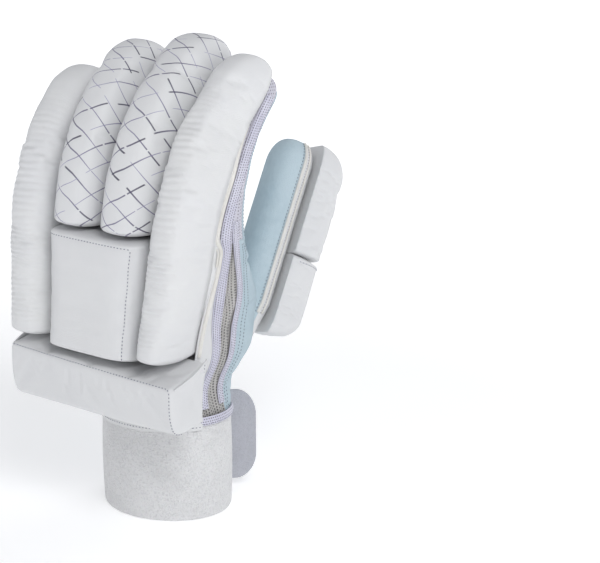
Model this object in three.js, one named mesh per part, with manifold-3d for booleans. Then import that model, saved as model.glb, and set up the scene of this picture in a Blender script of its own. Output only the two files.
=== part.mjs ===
// Cricket batting glove for the left hand, standing on its wrist cuff with the fingers up.
// Millimetres, +Z up. The back of the hand faces -Y, the palm +Y, the thumb side is +X.
// The origin is the middle of the bounding box, on the surface that the glove stands on.
import * as THREE from "three";
import Module from "manifold-3d";

const wasm = await Module();
wasm.setup();

const { clamp, degToRad, lerp, mapLinear } = THREE.MathUtils;

// Driving dimensions, in millimetres and degrees
const SEAT_GAP = 0.3;
const CUFF_HEIGHT = 62;
const CUFF_WALL = 6;
const CUFF_HALF_X = 41;
const CUFF_HALF_Y = 35;
const CUFF_SLIT = 3;
const CUFF_HEM_ROUND = 3;
const CUFF_BELLY = 0.8;
const STRAP_THICKNESS = 2.4;
const STRAP_HEIGHT = 58;
const STRAP_OVER_CUFF = 2;
const STRAP_START_ANGLE = 165;
const STRAP_LEAVE_ANGLE = 72;
const STRAP_FLAP_LENGTH = 22;
const STRAP_FLAP_HEADING = 44;
const HAND_HEIGHT = 115;
const HAND_WIDTH = 123;
const HAND_OFFSET = -7;
const HAND_WALL = 2.4;
const HAND_TILT = 2.7;
const BACK_SETBACK = 40;
const BACK_LEAN = 4;
const PALM_REACH = 36;
const THENAR_SWELL = 12;
const THENAR_ANGLE = 52;
const GUSSET_DEPTH = 20;
const MESH_WIDTH = 26;
const FINGER_LENGTH = 120;
const FINGER_BEND = 42;
const FINGER_BEND_RADIUS = 92;
const STALL_WALL = 2;
const STALL_ROOT_DEPTH = 36;
const STALL_TIP_DEPTH = 23;
const STALL_TIP_ROUND = 13;
const ROLL_HEIGHT = 33;
const ROLL_OVERHANG = 3;
const ROLL_TIP_ROUND = 26;
const ROLL_FOOT_ROUND = 5;
const ROLL_FOOT_SLANT = 4;
const ROLL_RISE = 2;
const PANEL_THICKNESS = 33;
const PANEL_HEIGHT = 71;
const PANEL_BELOW_TOP = 70.5;
const PANEL_ROUND = 3.5;
const WRIST_ROLL_LENGTH = 117;
const WRIST_ROLL_OFFSET = -3;
const WRIST_ROLL_DEPTH = 32;
const WRIST_ROLL_HEIGHT = 33;
const WRIST_ROLL_LEAN = 1.7;
const WRIST_ROLL_CLEARANCE = 1.4;
const THUMB_WIDTH = 30;
const THUMB_DEPTH = 26;
const THUMB_LENGTH = 164;
const THUMB_ROOT_RISE = 8;
const THUMB_TIP_ROUND = 16;
const THUMB_SEAM_OUT = 3;
const THUMB_PAD_WIDTH = 35;
const THUMB_PAD_THICKNESS = 23;
const THUMB_PAD_OVERHANG = 2;
const THUMB_BASE_ROUND = 14;

// Which way the thumb points, and which way its back faces
const THUMB_AIM = new THREE.Vector3(4, 78, 143);
const THUMB_BACK = new THREE.Vector3(0.5, 0.73, -0.46);

// Farther than anything here reaches, for solids that cut
const FAR = 400;

// What follows from them
const HAND_FOOT = CUFF_HEIGHT + SEAT_GAP;
const HAND_TOP = HAND_FOOT + HAND_HEIGHT;
const STRAP_FOOT = CUFF_HEIGHT + STRAP_OVER_CUFF - STRAP_HEIGHT;
const PANEL_FOOT = HAND_TOP - PANEL_BELOW_TOP;
const ROLL_FOOT = PANEL_FOOT + ROLL_RISE;
const PANEL_TOP = PANEL_FOOT + PANEL_HEIGHT;
const tilt = Math.tan(degToRad(HAND_TILT));
const lean = degToRad(BACK_LEAN);

// Where the thumb starts, inside the hand
const THUMB_ROOT = new THREE.Vector3(30, 12, HAND_FOOT + THUMB_ROOT_RISE);

// Lines between the fingers, from the little finger's outer side to the index finger's: distance from the
// hand's middle as a share of HAND_WIDTH, at the rolls' foot and at the finger tips
const FINGER_EDGES = [
  { foot: -0.5, tip: -0.585 },
  { foot: -0.236, tip: -0.317 },
  { foot: 0.024, tip: -0.016 },
  { foot: 0.272, tip: 0.309 },
  { foot: 0.475, tip: 0.55 },
];

// Fingers from the little one to the index: the edges that they lie between; length and the straight
// stretch before the bend, as shares of FINGER_LENGTH; bend radius and angle, as shares of
// FINGER_BEND_RADIUS and FINGER_BEND; and the height where the roll starts
const FINGERS = [
  { name: "little", from: 0, to: 1, length: 0.74, straight: 0, radius: 0.98, bend: 0.9, foot: ROLL_FOOT },
  { name: "ring", from: 1, to: 2, length: 0.92, straight: 0.07, radius: 1, bend: 0.95, foot: PANEL_TOP },
  { name: "middle", from: 2, to: 3, length: 1, straight: 0.08, radius: 1, bend: 1, foot: PANEL_TOP },
  { name: "index", from: 3, to: 4, length: 0.93, straight: 0.02, radius: 0.98, bend: 0.95, foot: ROLL_FOOT },
];

// Sections of the hand between the cuff and the finger roots. up: share of HAND_HEIGHT. back, palm: shares
// of BACK_SETBACK and PALM_REACH. backWide, palmWide: shares of the half width between the outer finger
// edges. thenar: share of THENAR_SWELL. box: 2 is an ellipse, and more is squarer.
const HAND_ROWS = [
  { up: 0.14, back: 0.97, palm: 0.98, backWide: 0.7, palmWide: 0.64, thenar: 0.25, box: 2.4 },
  { up: 0.36, back: 1.0, palm: 1.0, backWide: 0.88, palmWide: 0.72, thenar: 1, box: 2.9 },
  { up: 0.6, back: 1.0, palm: 0.94, backWide: 0.94, palmWide: 0.8, thenar: 0.92, box: 3.2 },
  { up: 0.82, back: 1.0, palm: 0.6, backWide: 0.98, palmWide: 0.9, thenar: 0.17, box: 3.5 },
];

// Section of the bar across the wrist, from the hand outwards and round. out: share of
// WRIST_ROLL_DEPTH. down: share of WRIST_ROLL_HEIGHT below its top.
const WRIST_ROLL_SECTION = [
  { out: 0, down: 0 },
  { out: 0.6, down: 0.01 },
  { out: 0.94, down: 0.03 },
  { out: 1, down: 0.1 },
  { out: 0.98, down: 0.55 },
  { out: 0.86, down: 0.88 },
  { out: 0.62, down: 1 },
  { out: 0.25, down: 0.99 },
  { out: 0, down: 0.88 },
];

// Size of the bar's section along it, from one end to the other: share of half its length, and of its section
const WRIST_ROLL_ENDS = [
  { along: -1, size: 0.72 },
  { along: -0.985, size: 0.9 },
  { along: -0.95, size: 1 },
  { along: 0, size: 1.02 },
  { along: 0.95, size: 1 },
  { along: 0.985, size: 0.9 },
  { along: 1, size: 0.72 },
];

// Outline of the cuff's wall: heights, and how far it is drawn in there or, below zero, let out
const CUFF_ROWS = [
  { z: 0, inset: CUFF_HEM_ROUND },
  { z: 0.3 * CUFF_HEM_ROUND, inset: 0.3 * CUFF_HEM_ROUND },
  { z: CUFF_HEM_ROUND, inset: 0 },
  { z: 0.5 * CUFF_HEIGHT, inset: -CUFF_BELLY },
  { z: CUFF_HEIGHT, inset: 0 },
];

// A closed solid from rings that all have the same number of points
function loft(rings) {
  const count = rings[0].length;
  const points = rings.flat();
  const foot = points.length;
  points.push(middleOf(rings[0]), middleOf(rings[rings.length - 1]));
  const faces = [];
  for (let r = 0; r < rings.length - 1; r++) {
    for (let i = 0; i < count; i++) {
      const a = r * count + i;
      const b = r * count + ((i + 1) % count);
      faces.push(a, b, b + count, a, b + count, a + count);
    }
  }
  const last = (rings.length - 1) * count;
  for (let i = 0; i < count; i++) {
    const next = (i + 1) % count;
    faces.push(foot, next, i, foot + 1, last + i, last + next);
  }
  return solidFrom(points, faces);
}

function middleOf(ring) {
  return ring.reduce((sum, p) => sum.add(p), new THREE.Vector3()).divideScalar(ring.length);
}

// manifold-3d joins and cuts; the shapes themselves are three.js points and faces. Rings that run the other
// way round give faces that point in, so those are turned.
function solidFrom(points, faces) {
  const solid = new wasm.Manifold(
    new wasm.Mesh({
      numProp: 3,
      vertProperties: new Float32Array(points.flatMap((p) => [p.x, p.y, p.z])),
      triVerts: new Uint32Array(faces),
    }),
  );
  if (solid.volume() > 0) return solid;
  const turned = [];
  for (let i = 0; i < faces.length; i += 3) turned.push(faces[i], faces[i + 2], faces[i + 1]);
  return solidFrom(points, turned);
}

// A block between two corners
function block(low, high) {
  return loft(
    [low.z, high.z].map((z) => [
      new THREE.Vector3(low.x, low.y, z),
      new THREE.Vector3(high.x, low.y, z),
      new THREE.Vector3(high.x, high.y, z),
      new THREE.Vector3(low.x, high.y, z),
    ]),
  );
}

// One coordinate of a rounded box: 2 gives a circle, more gives squarer corners
function squared(value, box) {
  return Math.sign(value) * Math.abs(value) ** (2 / box);
}

// Points round a full turn, or round half a turn with both ends
function turn(count, angle, place) {
  const whole = angle === 2 * Math.PI;
  return Array.from({ length: count }, (unused, i) => place((i / (whole ? count : count - 1)) * angle));
}

// How much of its full size a form has at a distance from its rounded end
function roundedShare(distance, radius) {
  const left = clamp(1 - distance / radius, 0, 1);
  return Math.sqrt(1 - left * left);
}

// Places along a form, close together in its rounded ends
function stations(from, to, step, startRound, endRound) {
  const shares = [0.04, 0.3, 0.65];
  const start = startRound > 0 ? shares.map((s) => from + s * startRound) : [];
  const end = shares.map((s) => to - s * endRound).reverse();
  const inner = from + startRound;
  const parts = Math.max(1, Math.round((to - endRound - inner) / step));
  const between = Array.from({ length: parts + 1 }, (unused, i) => lerp(inner, to - endRound, i / parts));
  return [...start, ...between, ...end];
}

// The hand leans to the thumb's side, from nothing at the cuff
function tilted(x, y, z) {
  const share = clamp((z - CUFF_HEIGHT) / (ROLL_FOOT - CUFF_HEIGHT), 0, 1);
  return new THREE.Vector3(x + (z - CUFF_HEIGHT) * tilt * share, y, z - x * tilt * share);
}

// The back of the hand is a flat plane that leans towards the palm
function backLine(z) {
  return -BACK_SETBACK + (z - ROLL_FOOT) * Math.tan(lean);
}

function edgeAt(index, z) {
  const edge = FINGER_EDGES[index];
  const tipZ = HAND_TOP + 0.9 * FINGER_LENGTH;
  return HAND_OFFSET + HAND_WIDTH * mapLinear(z, ROLL_FOOT, tipZ, edge.foot, edge.tip);
}

function outerHalfWidth(z) {
  return (edgeAt(4, z) - edgeAt(0, z)) / 2;
}

function outerMiddle(z) {
  return (edgeAt(4, z) + edgeAt(0, z)) / 2;
}

function handRing(row, inset) {
  const thenar = degToRad(THENAR_ANGLE);
  return turn(32, 2 * Math.PI, (t) => {
    const share = (squared(Math.sin(t), row.box) + 1) / 2;
    const wide = lerp(row.backWide, row.palmWide, share) - inset;
    const swell = row.thenar * Math.max(0, Math.cos(t - thenar)) ** 2;
    const x = row.middle + squared(Math.cos(t), row.box) * wide + swell * Math.cos(thenar);
    const y = lerp(row.back + inset, row.palm - inset, share) + swell * Math.sin(thenar);
    return tilted(x, y, row.z);
  });
}

// The whole hand between the cuff and the finger roots, drawn in or let out all round
function hand(inset, footDrop = 0, topRise = 0) {
  const wrist = { back: -CUFF_HALF_Y, palm: CUFF_HALF_Y, backWide: CUFF_HALF_X, palmWide: CUFF_HALF_X };
  const half = outerHalfWidth(HAND_TOP);
  const back = backLine(HAND_TOP);
  const knuckles = { back, palm: back + STALL_ROOT_DEPTH, backWide: half, palmWide: half };
  const rows = [
    { ...wrist, z: HAND_FOOT - footDrop, thenar: 0, box: 2, middle: 0 },
    ...HAND_ROWS.map((row) => {
      const z = HAND_FOOT + row.up * HAND_HEIGHT;
      return {
        z,
        back: Math.max(backLine(z), -BACK_SETBACK) * row.back,
        palm: PALM_REACH * row.palm,
        backWide: outerHalfWidth(z) * row.backWide,
        palmWide: outerHalfWidth(z) * row.palmWide,
        thenar: THENAR_SWELL * row.thenar,
        box: row.box,
        middle: outerMiddle(z) * Math.min(1, 2 * row.up),
      };
    }),
    { ...knuckles, z: HAND_TOP + topRise, thenar: 0, box: 4.5, middle: outerMiddle(HAND_TOP) },
  ];
  return loft(rows.map((row) => handRing(row, inset)));
}

// Everything on the palm's side of a seam that runs up the hand and then bends over
function palmwards(low, top, offset) {
  const bendZ = HAND_FOOT + 0.59 * HAND_HEIGHT;
  const line = [
    { y: low + offset, z: -FAR },
    { y: low + offset, z: bendZ },
    { y: top + offset, z: HAND_TOP },
    { y: top + offset, z: FAR },
    { y: FAR, z: FAR },
    { y: FAR, z: -FAR },
  ];
  return loft([-FAR, FAR].map((x) => line.map((p) => new THREE.Vector3(x, p.y, p.z))));
}

// Everything higher than the hand, with a gap
function aboveHand() {
  return loft(
    [HAND_TOP + SEAT_GAP, FAR].map((z) => {
      return [tilted(-FAR, -FAR, z), tilted(FAR, -FAR, z), tilted(FAR, FAR, z), tilted(-FAR, FAR, z)];
    }),
  );
}

// A point over a finger's back line, which bends towards the palm: along is measured from the hand's
// top, out from the line, and across is -1 at one edge of the finger and 1 at the other.
function fingerPoint(finger, along, across, out) {
  const straight = finger.straight * FINGER_LENGTH;
  const radius = finger.radius * FINGER_BEND_RADIUS;
  const arc = radius * degToRad(finger.bend * FINGER_BEND);
  const before = Math.min(along, straight);
  const round = clamp(along - straight, 0, arc);
  const after = Math.max(along - straight - arc, 0);
  const turned = lean + round / radius;
  const y =
    backLine(HAND_TOP) +
    before * Math.sin(lean) +
    radius * (Math.cos(lean) - Math.cos(turned)) +
    after * Math.sin(turned) -
    out * Math.cos(turned);
  const z =
    HAND_TOP +
    before * Math.cos(lean) +
    radius * (Math.sin(turned) - Math.sin(lean)) +
    after * Math.cos(turned) +
    out * Math.sin(turned);
  const left = edgeAt(finger.from, z) + SEAT_GAP / 2;
  const right = edgeAt(finger.to, z) - SEAT_GAP / 2;
  return tilted((left + right) / 2 + (across * (right - left)) / 2, y, z);
}

function stallSolid(finger, inset, from) {
  const length = finger.length * FINGER_LENGTH;
  const to = length - inset;
  const tipRound = STALL_TIP_ROUND - inset;
  const half = (edgeAt(finger.to, HAND_TOP) - edgeAt(finger.from, HAND_TOP)) / 2;
  return loft(
    stations(from, to, 16, 0, tipRound).map((along) => {
      const share = clamp(along / length, 0, 1);
      const depth = lerp(STALL_ROOT_DEPTH, STALL_TIP_DEPTH, Math.min(1, 2 * share));
      const size = 0.35 + 0.65 * roundedShare(to - along, tipRound);
      const wide = (1 - 0.12 * share - inset / half) * size;
      const deep = (depth / 2 - inset) * size;
      return turn(16, 2 * Math.PI, (t) => {
        const out = deep * squared(Math.sin(t), 2.5) - depth / 2;
        return fingerPoint(finger, along, wide * squared(Math.cos(t), 2.5), out);
      });
    }),
  );
}

function fingerStall(finger) {
  const below = HAND_WALL + STALL_WALL + 4;
  const outside = stallSolid(finger, 0, -below);
  const inside = stallSolid(finger, STALL_WALL, -below - 1);
  return outside.subtract(inside).intersect(aboveHand());
}

// A padded form on the back line between two heights: flat underneath, crowned on top. Its lower end
// may slant, so that it is higher where it meets the hand.
function paddedOnBack(finger, height, from, to, form) {
  return loft(
    stations(from, to, 14, form.footRound, form.tipRound).map((along) => {
      const foot = roundedShare(along - from, form.footRound);
      const tip = roundedShare(to - along, form.tipRound);
      const top = height(along) * (0.15 + 0.85 * foot * tip);
      const wide = lerp(form.footWidth, 1, foot) * lerp(form.tipWidth, 1, tip);
      const slant = form.slant * clamp(1 - (along - from) / (4 * form.footRound), 0, 1);
      return turn(13, Math.PI, (t) => {
        const rise = squared(Math.sin(t), form.box);
        const out = lerp(SEAT_GAP, top, rise);
        return fingerPoint(finger, along + slant * (1 - rise), wide * squared(Math.cos(t), form.box), out);
      });
    }),
  );
}

function fingerRoll(finger) {
  const from = finger.foot + SEAT_GAP - HAND_TOP;
  const length = finger.length * FINGER_LENGTH;
  const height = (along) => ROLL_HEIGHT * (1 - 0.22 * clamp(along / length, 0, 1));
  return paddedOnBack(finger, height, from, length + ROLL_OVERHANG, {
    footRound: ROLL_FOOT_ROUND,
    footWidth: 0.6,
    tipRound: ROLL_TIP_ROUND,
    tipWidth: 0.36,
    slant: ROLL_FOOT_SLANT,
    box: 2.6,
  });
}

function knucklePanel() {
  const flat = { from: 1, to: 3, straight: 1, radius: 1, bend: 0 };
  const from = PANEL_FOOT - HAND_TOP;
  return paddedOnBack(flat, () => PANEL_THICKNESS, from, from + PANEL_HEIGHT, {
    footRound: PANEL_ROUND,
    footWidth: 0.85,
    tipRound: PANEL_ROUND,
    tipWidth: 0.85,
    slant: 0,
    box: 6,
  });
}

// The bar across the wrist
function wristRoll() {
  const back = -BACK_SETBACK - SEAT_GAP;
  const top = PANEL_FOOT - WRIST_ROLL_CLEARANCE;
  const centre = { y: back - 0.2 * WRIST_ROLL_DEPTH, z: top - 0.4 * WRIST_ROLL_HEIGHT };
  return loft(
    WRIST_ROLL_ENDS.map((end) => {
      const x = (end.along * WRIST_ROLL_LENGTH) / 2;
      const drop = x * Math.tan(degToRad(WRIST_ROLL_LEAN));
      return WRIST_ROLL_SECTION.map((p) => {
        const y = back - p.out * WRIST_ROLL_DEPTH;
        const z = top - p.down * WRIST_ROLL_HEIGHT;
        const low = lerp(centre.z, z, end.size) - drop;
        return tilted(WRIST_ROLL_OFFSET + x, Math.min(lerp(centre.y, y, end.size), back), low);
      });
    }),
  );
}

function cuffRing(z, inset) {
  return turn(40, 2 * Math.PI, (t) => {
    return new THREE.Vector3((CUFF_HALF_X - inset) * Math.cos(t), (CUFF_HALF_Y - inset) * Math.sin(t), z);
  });
}

// The cuff: an oval towelling band, open at its slit on the palm side
function cuff() {
  const outer = loft(CUFF_ROWS.map((row) => cuffRing(row.z, row.inset)));
  const inner = loft([-1, CUFF_HEIGHT + 1].map((z) => cuffRing(z, CUFF_WALL)));
  const slit = block(
    new THREE.Vector3(-CUFF_SLIT / 2, 0, -1),
    new THREE.Vector3(CUFF_SLIT / 2, 2 * CUFF_HALF_Y, CUFF_HEIGHT + 1),
  );
  return outer.subtract(inner).subtract(slit);
}

// The strap lies round the palm side of the cuff, and its free end lifts off it
function wristStrap() {
  const clear = SEAT_GAP + CUFF_BELLY;
  const steps = 14;
  const line = Array.from({ length: steps + 1 }, (unused, i) => {
    const t = degToRad(lerp(STRAP_START_ANGLE, STRAP_LEAVE_ANGLE, i / steps));
    return new THREE.Vector2((CUFF_HALF_X + clear) * Math.cos(t), (CUFF_HALF_Y + clear) * Math.sin(t));
  });
  const leave = line[steps];
  const flapTurn = degToRad(STRAP_FLAP_HEADING);
  const heading = new THREE.Vector2(Math.cos(flapTurn), Math.sin(flapTurn));
  const flap = [
    { along: 0.3, trim: 0.01 },
    { along: 0.6, trim: 0.06 },
    { along: 0.85, trim: 0.16 },
    { along: 1, trim: 0.3 },
  ];
  flap.forEach((row) => line.push(leave.clone().addScaledVector(heading, row.along * STRAP_FLAP_LENGTH)));
  return loft(
    line.map((p, i) => {
      const before = line[Math.max(i - 1, 0)];
      const after = line[Math.min(i + 1, line.length - 1)];
      const along = after.clone().sub(before).normalize();
      const side = new THREE.Vector2(-along.y, along.x).multiplyScalar(STRAP_THICKNESS);
      const trim = i > steps ? STRAP_HEIGHT * flap[i - steps - 1].trim : 0;
      const low = STRAP_FOOT + trim;
      const high = STRAP_FOOT + STRAP_HEIGHT - trim;
      return [
        new THREE.Vector3(p.x, p.y, low),
        new THREE.Vector3(p.x + side.x, p.y + side.y, low),
        new THREE.Vector3(p.x + side.x, p.y + side.y, high),
        new THREE.Vector3(p.x, p.y, high),
      ];
    }),
  );
}

// The thumb's own axes: along it, across it, and out of its back
const thumbAlong = THUMB_AIM.clone().normalize();
const thumbBack = THUMB_BACK.clone().addScaledVector(thumbAlong, -THUMB_BACK.dot(thumbAlong)).normalize();
const thumbAcross = new THREE.Vector3().crossVectors(thumbAlong, thumbBack);

function thumbPoint(along, across, out) {
  return THUMB_ROOT.clone()
    .addScaledVector(thumbAlong, along)
    .addScaledVector(thumbAcross, across)
    .addScaledVector(thumbBack, out);
}

function thumbSolid(inset, from) {
  const to = THUMB_LENGTH - inset;
  const tipRound = THUMB_TIP_ROUND - inset;
  return loft(
    stations(from, to, 16, 0, tipRound).map((along) => {
      const size = 0.35 + 0.65 * roundedShare(to - along, tipRound);
      const root = lerp(0.5, 1, clamp(along / THUMB_LENGTH / 0.2 - 0.85, 0, 1));
      const wide = ((THUMB_WIDTH / 2) * root - inset) * size;
      const deep = ((THUMB_DEPTH / 2) * root - inset) * size;
      return turn(18, 2 * Math.PI, (t) => {
        return thumbPoint(along, wide * squared(Math.cos(t), 2.6), deep * squared(Math.sin(t), 2.6));
      });
    }),
  );
}

// Everything on the thumb's palm side of its lengthwise seam
function thumbPalmSide(seamOut) {
  return loft(
    [-FAR, FAR].map((along) => {
      return [
        thumbPoint(along, -FAR, -FAR),
        thumbPoint(along, FAR, -FAR),
        thumbPoint(along, FAR, seamOut),
        thumbPoint(along, -FAR, seamOut),
      ];
    }),
  );
}

function thumbPad(from, to, startRound, endRound) {
  const base = THUMB_DEPTH / 2 + SEAT_GAP;
  return loft(
    stations(from, to, 16, startRound, endRound).map((along) => {
      const size = roundedShare(along - from, startRound) * roundedShare(to - along, endRound);
      const wide = (THUMB_PAD_WIDTH / 2) * (0.6 + 0.4 * size);
      const top = THUMB_PAD_THICKNESS * (0.2 + 0.8 * size);
      return turn(13, Math.PI, (t) => {
        return thumbPoint(along, wide * squared(Math.cos(t), 2.6), base + top * squared(Math.sin(t), 2.6));
      });
    }),
  );
}

const LOOKS = {
  leather: { color: 0xf2f2f0, roughness: 0.45, metalness: 0 },
  palm: { color: 0xbfd0d8, roughness: 0.6, metalness: 0 },
  towel: { color: 0xe6e5e4, roughness: 0.95, metalness: 0 },
  mesh: { color: 0xd9d6e4, roughness: 0.85, metalness: 0 },
  strap: { color: 0xb9b9c4, roughness: 0.7, metalness: 0 },
};

const glove = new THREE.Group();

function add(name, solid, look) {
  const made = solid.getMesh();
  const geometry = new THREE.BufferGeometry();
  geometry.setAttribute("position", new THREE.BufferAttribute(new Float32Array(made.vertProperties), 3));
  geometry.setIndex(new THREE.BufferAttribute(new Uint32Array(made.triVerts), 1));
  geometry.computeVertexNormals();
  const mesh = new THREE.Mesh(geometry, new THREE.MeshStandardMaterial(LOOKS[look]));
  mesh.name = name;
  glove.add(mesh);
}

// Wrist
add("cuff", cuff(), "towel");
add("wrist_strap", wristStrap(), "strap");

// Hand: one hollow wall, cut along its seams, with a hole where the thumb leaves it
const stallStart = 0.17 * THUMB_LENGTH;
const handClearance = hand(-SEAT_GAP, 1, 1);
const thumbHole = thumbSolid(STALL_WALL, stallStart);
const wall = hand(0).subtract(hand(HAND_WALL, 1, 1)).subtract(thumbHole);
const backSeam = { low: -BACK_SETBACK + GUSSET_DEPTH, top: -BACK_SETBACK + 0.8 * GUSSET_DEPTH };
const palmSeam = { low: backSeam.low + MESH_WIDTH, top: backSeam.top + 0.38 * MESH_WIDTH };
const sides = wall
  .intersect(palmwards(backSeam.low, backSeam.top, SEAT_GAP))
  .subtract(palmwards(palmSeam.low, palmSeam.top, 0));
const thumbSide = block(new THREE.Vector3(0, -FAR, -FAR), new THREE.Vector3(FAR, FAR, FAR));
add("back_lining", wall.subtract(palmwards(backSeam.low, backSeam.top, 0)), "leather");
add("radial_mesh", sides.intersect(thumbSide), "mesh");
add("ulnar_mesh", sides.subtract(thumbSide), "mesh");
add("palm_leather", wall.intersect(palmwards(palmSeam.low, palmSeam.top, SEAT_GAP)), "palm");

// Fingers
for (const finger of FINGERS) {
  add(finger.name + "_stall", fingerStall(finger), "palm");
  add(finger.name + "_roll", fingerRoll(finger), "leather");
}

// Back of the hand
add("knuckle_panel", knucklePanel(), "leather");
add("wrist_roll", wristRoll(), "leather");

// Thumb
const thumbInside = thumbSolid(STALL_WALL, stallStart - 1);
const thumbStall = thumbSolid(0, stallStart).subtract(thumbInside).subtract(handClearance);
const padSplit = 0.58 * THUMB_LENGTH;
const tipPad = thumbPad(padSplit + SEAT_GAP, THUMB_LENGTH + THUMB_PAD_OVERHANG, 4, 20);
const basePad = thumbPad(0.27 * THUMB_LENGTH, padSplit, THUMB_BASE_ROUND, 4);
add("thumb_leather", thumbStall.intersect(thumbPalmSide(THUMB_SEAM_OUT)), "palm");
add("thumb_gusset", thumbStall.subtract(thumbPalmSide(THUMB_SEAM_OUT + SEAT_GAP)), "leather");
add("thumb_tip_pad", tipPad.subtract(handClearance), "leather");
add("thumb_base_pad", basePad.subtract(handClearance), "leather");

// Stand it on z = 0 with the middle of its bounding box over the origin
const bounds = new THREE.Box3().setFromObject(glove);
const middle = bounds.getCenter(new THREE.Vector3());
glove.children.forEach((mesh) => mesh.geometry.translate(-middle.x, -middle.y, -bounds.min.z));

export default glove;
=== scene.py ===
"""Looks for a left-hand cricket batting glove that stands on its wrist cuff.

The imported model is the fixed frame. Every form here follows the same pattern sizes as the solids, in
millimetres, and is turned into metres in the frame's own place. The back of the hand faces -Y, the palm
+Y, and the thumb side is +X.
"""

from __future__ import annotations

import logging
import math
from abc import ABC, abstractmethod
from dataclasses import dataclass
from enum import Enum
from typing import Callable, Sequence

import bpy
import numpy as np
from mathutils import Matrix, Vector
from mathutils.kdtree import KDTree

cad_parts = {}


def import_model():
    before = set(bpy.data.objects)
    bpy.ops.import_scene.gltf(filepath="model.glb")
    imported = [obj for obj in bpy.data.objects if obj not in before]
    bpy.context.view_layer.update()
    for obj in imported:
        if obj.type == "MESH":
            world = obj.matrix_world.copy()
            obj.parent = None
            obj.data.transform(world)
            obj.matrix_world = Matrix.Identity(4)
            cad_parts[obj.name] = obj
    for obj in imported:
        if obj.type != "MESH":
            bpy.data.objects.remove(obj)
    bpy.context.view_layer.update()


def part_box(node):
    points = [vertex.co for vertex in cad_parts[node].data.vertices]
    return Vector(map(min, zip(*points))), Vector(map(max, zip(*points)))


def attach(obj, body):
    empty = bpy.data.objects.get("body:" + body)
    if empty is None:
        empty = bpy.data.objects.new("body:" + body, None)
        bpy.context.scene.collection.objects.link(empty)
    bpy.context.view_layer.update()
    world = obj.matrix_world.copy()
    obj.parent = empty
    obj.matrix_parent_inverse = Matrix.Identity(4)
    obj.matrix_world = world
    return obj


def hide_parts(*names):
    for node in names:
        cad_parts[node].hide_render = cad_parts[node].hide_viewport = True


LOG = logging.getLogger("batting_glove")
MM = 0.001
BODY = "root"

Array = np.ndarray
Line = tuple[np.ndarray, np.ndarray]
Fold = Callable[[np.ndarray, np.ndarray], np.ndarray]
Piece = bpy.types.Object
Node = bpy.types.Node
Socket = bpy.types.NodeSocket
Sockets = dict[str, bpy.types.NodeSocket]
Colour = tuple[float, float, float]


class Slot(Enum):
    """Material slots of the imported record."""

    WHITE = "white_leather"
    PALM = "palm_leather"
    TOWEL = "towelling"
    MESH = "mesh"
    STRAP = "strap"


def lerp(low: Array | float, high: Array | float, share: Array | float) -> Array:
    """Value between low and high at a share from 0 to 1."""
    return low + (high - low) * share


def squared(value: Array, box: Array | float) -> Array:
    """One coordinate of a rounded box: 2 gives a circle, more gives squarer corners."""
    return np.sign(value) * np.abs(value) ** (2 / box)


def rounded_share(distance: Array, radius: float) -> Array:
    """How much of its full size a form has at a distance from its rounded end."""
    left = np.clip(1 - distance / radius, 0, 1)
    return np.sqrt(1 - left * left)


def smooth_step(low: float, high: float, value: Array) -> Array:
    """Soft step from 0 at low to 1 at high."""
    t = np.clip((value - low) / (high - low), 0, 1)
    return t * t * (3 - 2 * t)


def from_underside(u: Array) -> Array:
    """How far round a closed form a place is from the middle of its underside, up to 0.5."""
    return np.abs(((u + 0.5) % 1.0) - 0.5)


def from_ends(v: Array) -> Array:
    """How far along a form a place is from its nearer end, up to 0.5."""
    return np.minimum(v, 1 - v)


def capped(v: Array, cap: float) -> tuple[Array, Array]:
    """A form's length with closing ends: its share between the caps, and how open it is there."""
    return np.clip((v - cap) / (1 - 2 * cap), 0, 1), np.clip(from_ends(v) / cap, 0, 1)


def ripple(value: Array, seed: float) -> Array:
    """Slow, repeatable unevenness between about -1 and 1 along a length in millimetres.

    Args:
        value: Places along the length.
        seed: Shifts the pattern, so that two pieces differ.
    """
    return (
        0.5 * np.sin(value * 0.21 + seed * 1.7) + 0.3 * np.sin(value * 0.53 + seed * 4.1)
        + 0.2 * np.sin(value * 1.17 + seed * 2.3)
    )


def curve_through(places: Sequence[float], values: Sequence[float], at: Array) -> Array:
    """Smooth curve through a few values, flat or straight where they are.

    Args:
        places: Rising places of the values.
        values: The value at each place.
        at: Where the curve is read.

    Returns:
        The curve's value at each place asked for.
    """
    x = np.asarray(places, float)
    y = np.asarray(values, float)
    step = np.diff(x)
    slope = np.diff(y) / step
    tangent = np.zeros_like(y)
    tangent[1:-1] = np.where(slope[:-1] * slope[1:] > 0, (slope[:-1] + slope[1:]) / 2, 0)
    tangent[0], tangent[-1] = slope[0], slope[-1]
    at = np.clip(at, x[0], x[-1])
    i = np.clip(np.searchsorted(x, at, side="right") - 1, 0, len(step) - 1)
    t = (at - x[i]) / step[i]
    h = step[i]
    return (
        (2 * t**3 - 3 * t**2 + 1) * y[i] + (t**3 - 2 * t**2 + t) * h * tangent[i]
        + (3 * t**2 - 2 * t**3) * y[i + 1]
        + (t**3 - t**2) * h * tangent[i + 1]
    )


@dataclass(frozen=True)
class FingerCut:
    """One finger of the pattern.

    Its edges are numbered from the little finger's outer side. Length and the straight stretch before
    the bend are shares of the finger length; radius and bend are shares of the pattern's.
    """

    name: str
    first_edge: int
    last_edge: int
    length: float
    straight: float
    radius: float
    bend: float
    from_wrist: bool


FINGERS = (
    FingerCut("little", 0, 1, 0.74, 0.0, 0.98, 0.9, True),
    FingerCut("ring", 1, 2, 0.92, 0.07, 1.0, 0.95, False),
    FingerCut("middle", 2, 3, 1.0, 0.08, 1.0, 1.0, False),
    FingerCut("index", 3, 4, 0.93, 0.02, 0.98, 0.95, True),
)


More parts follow.
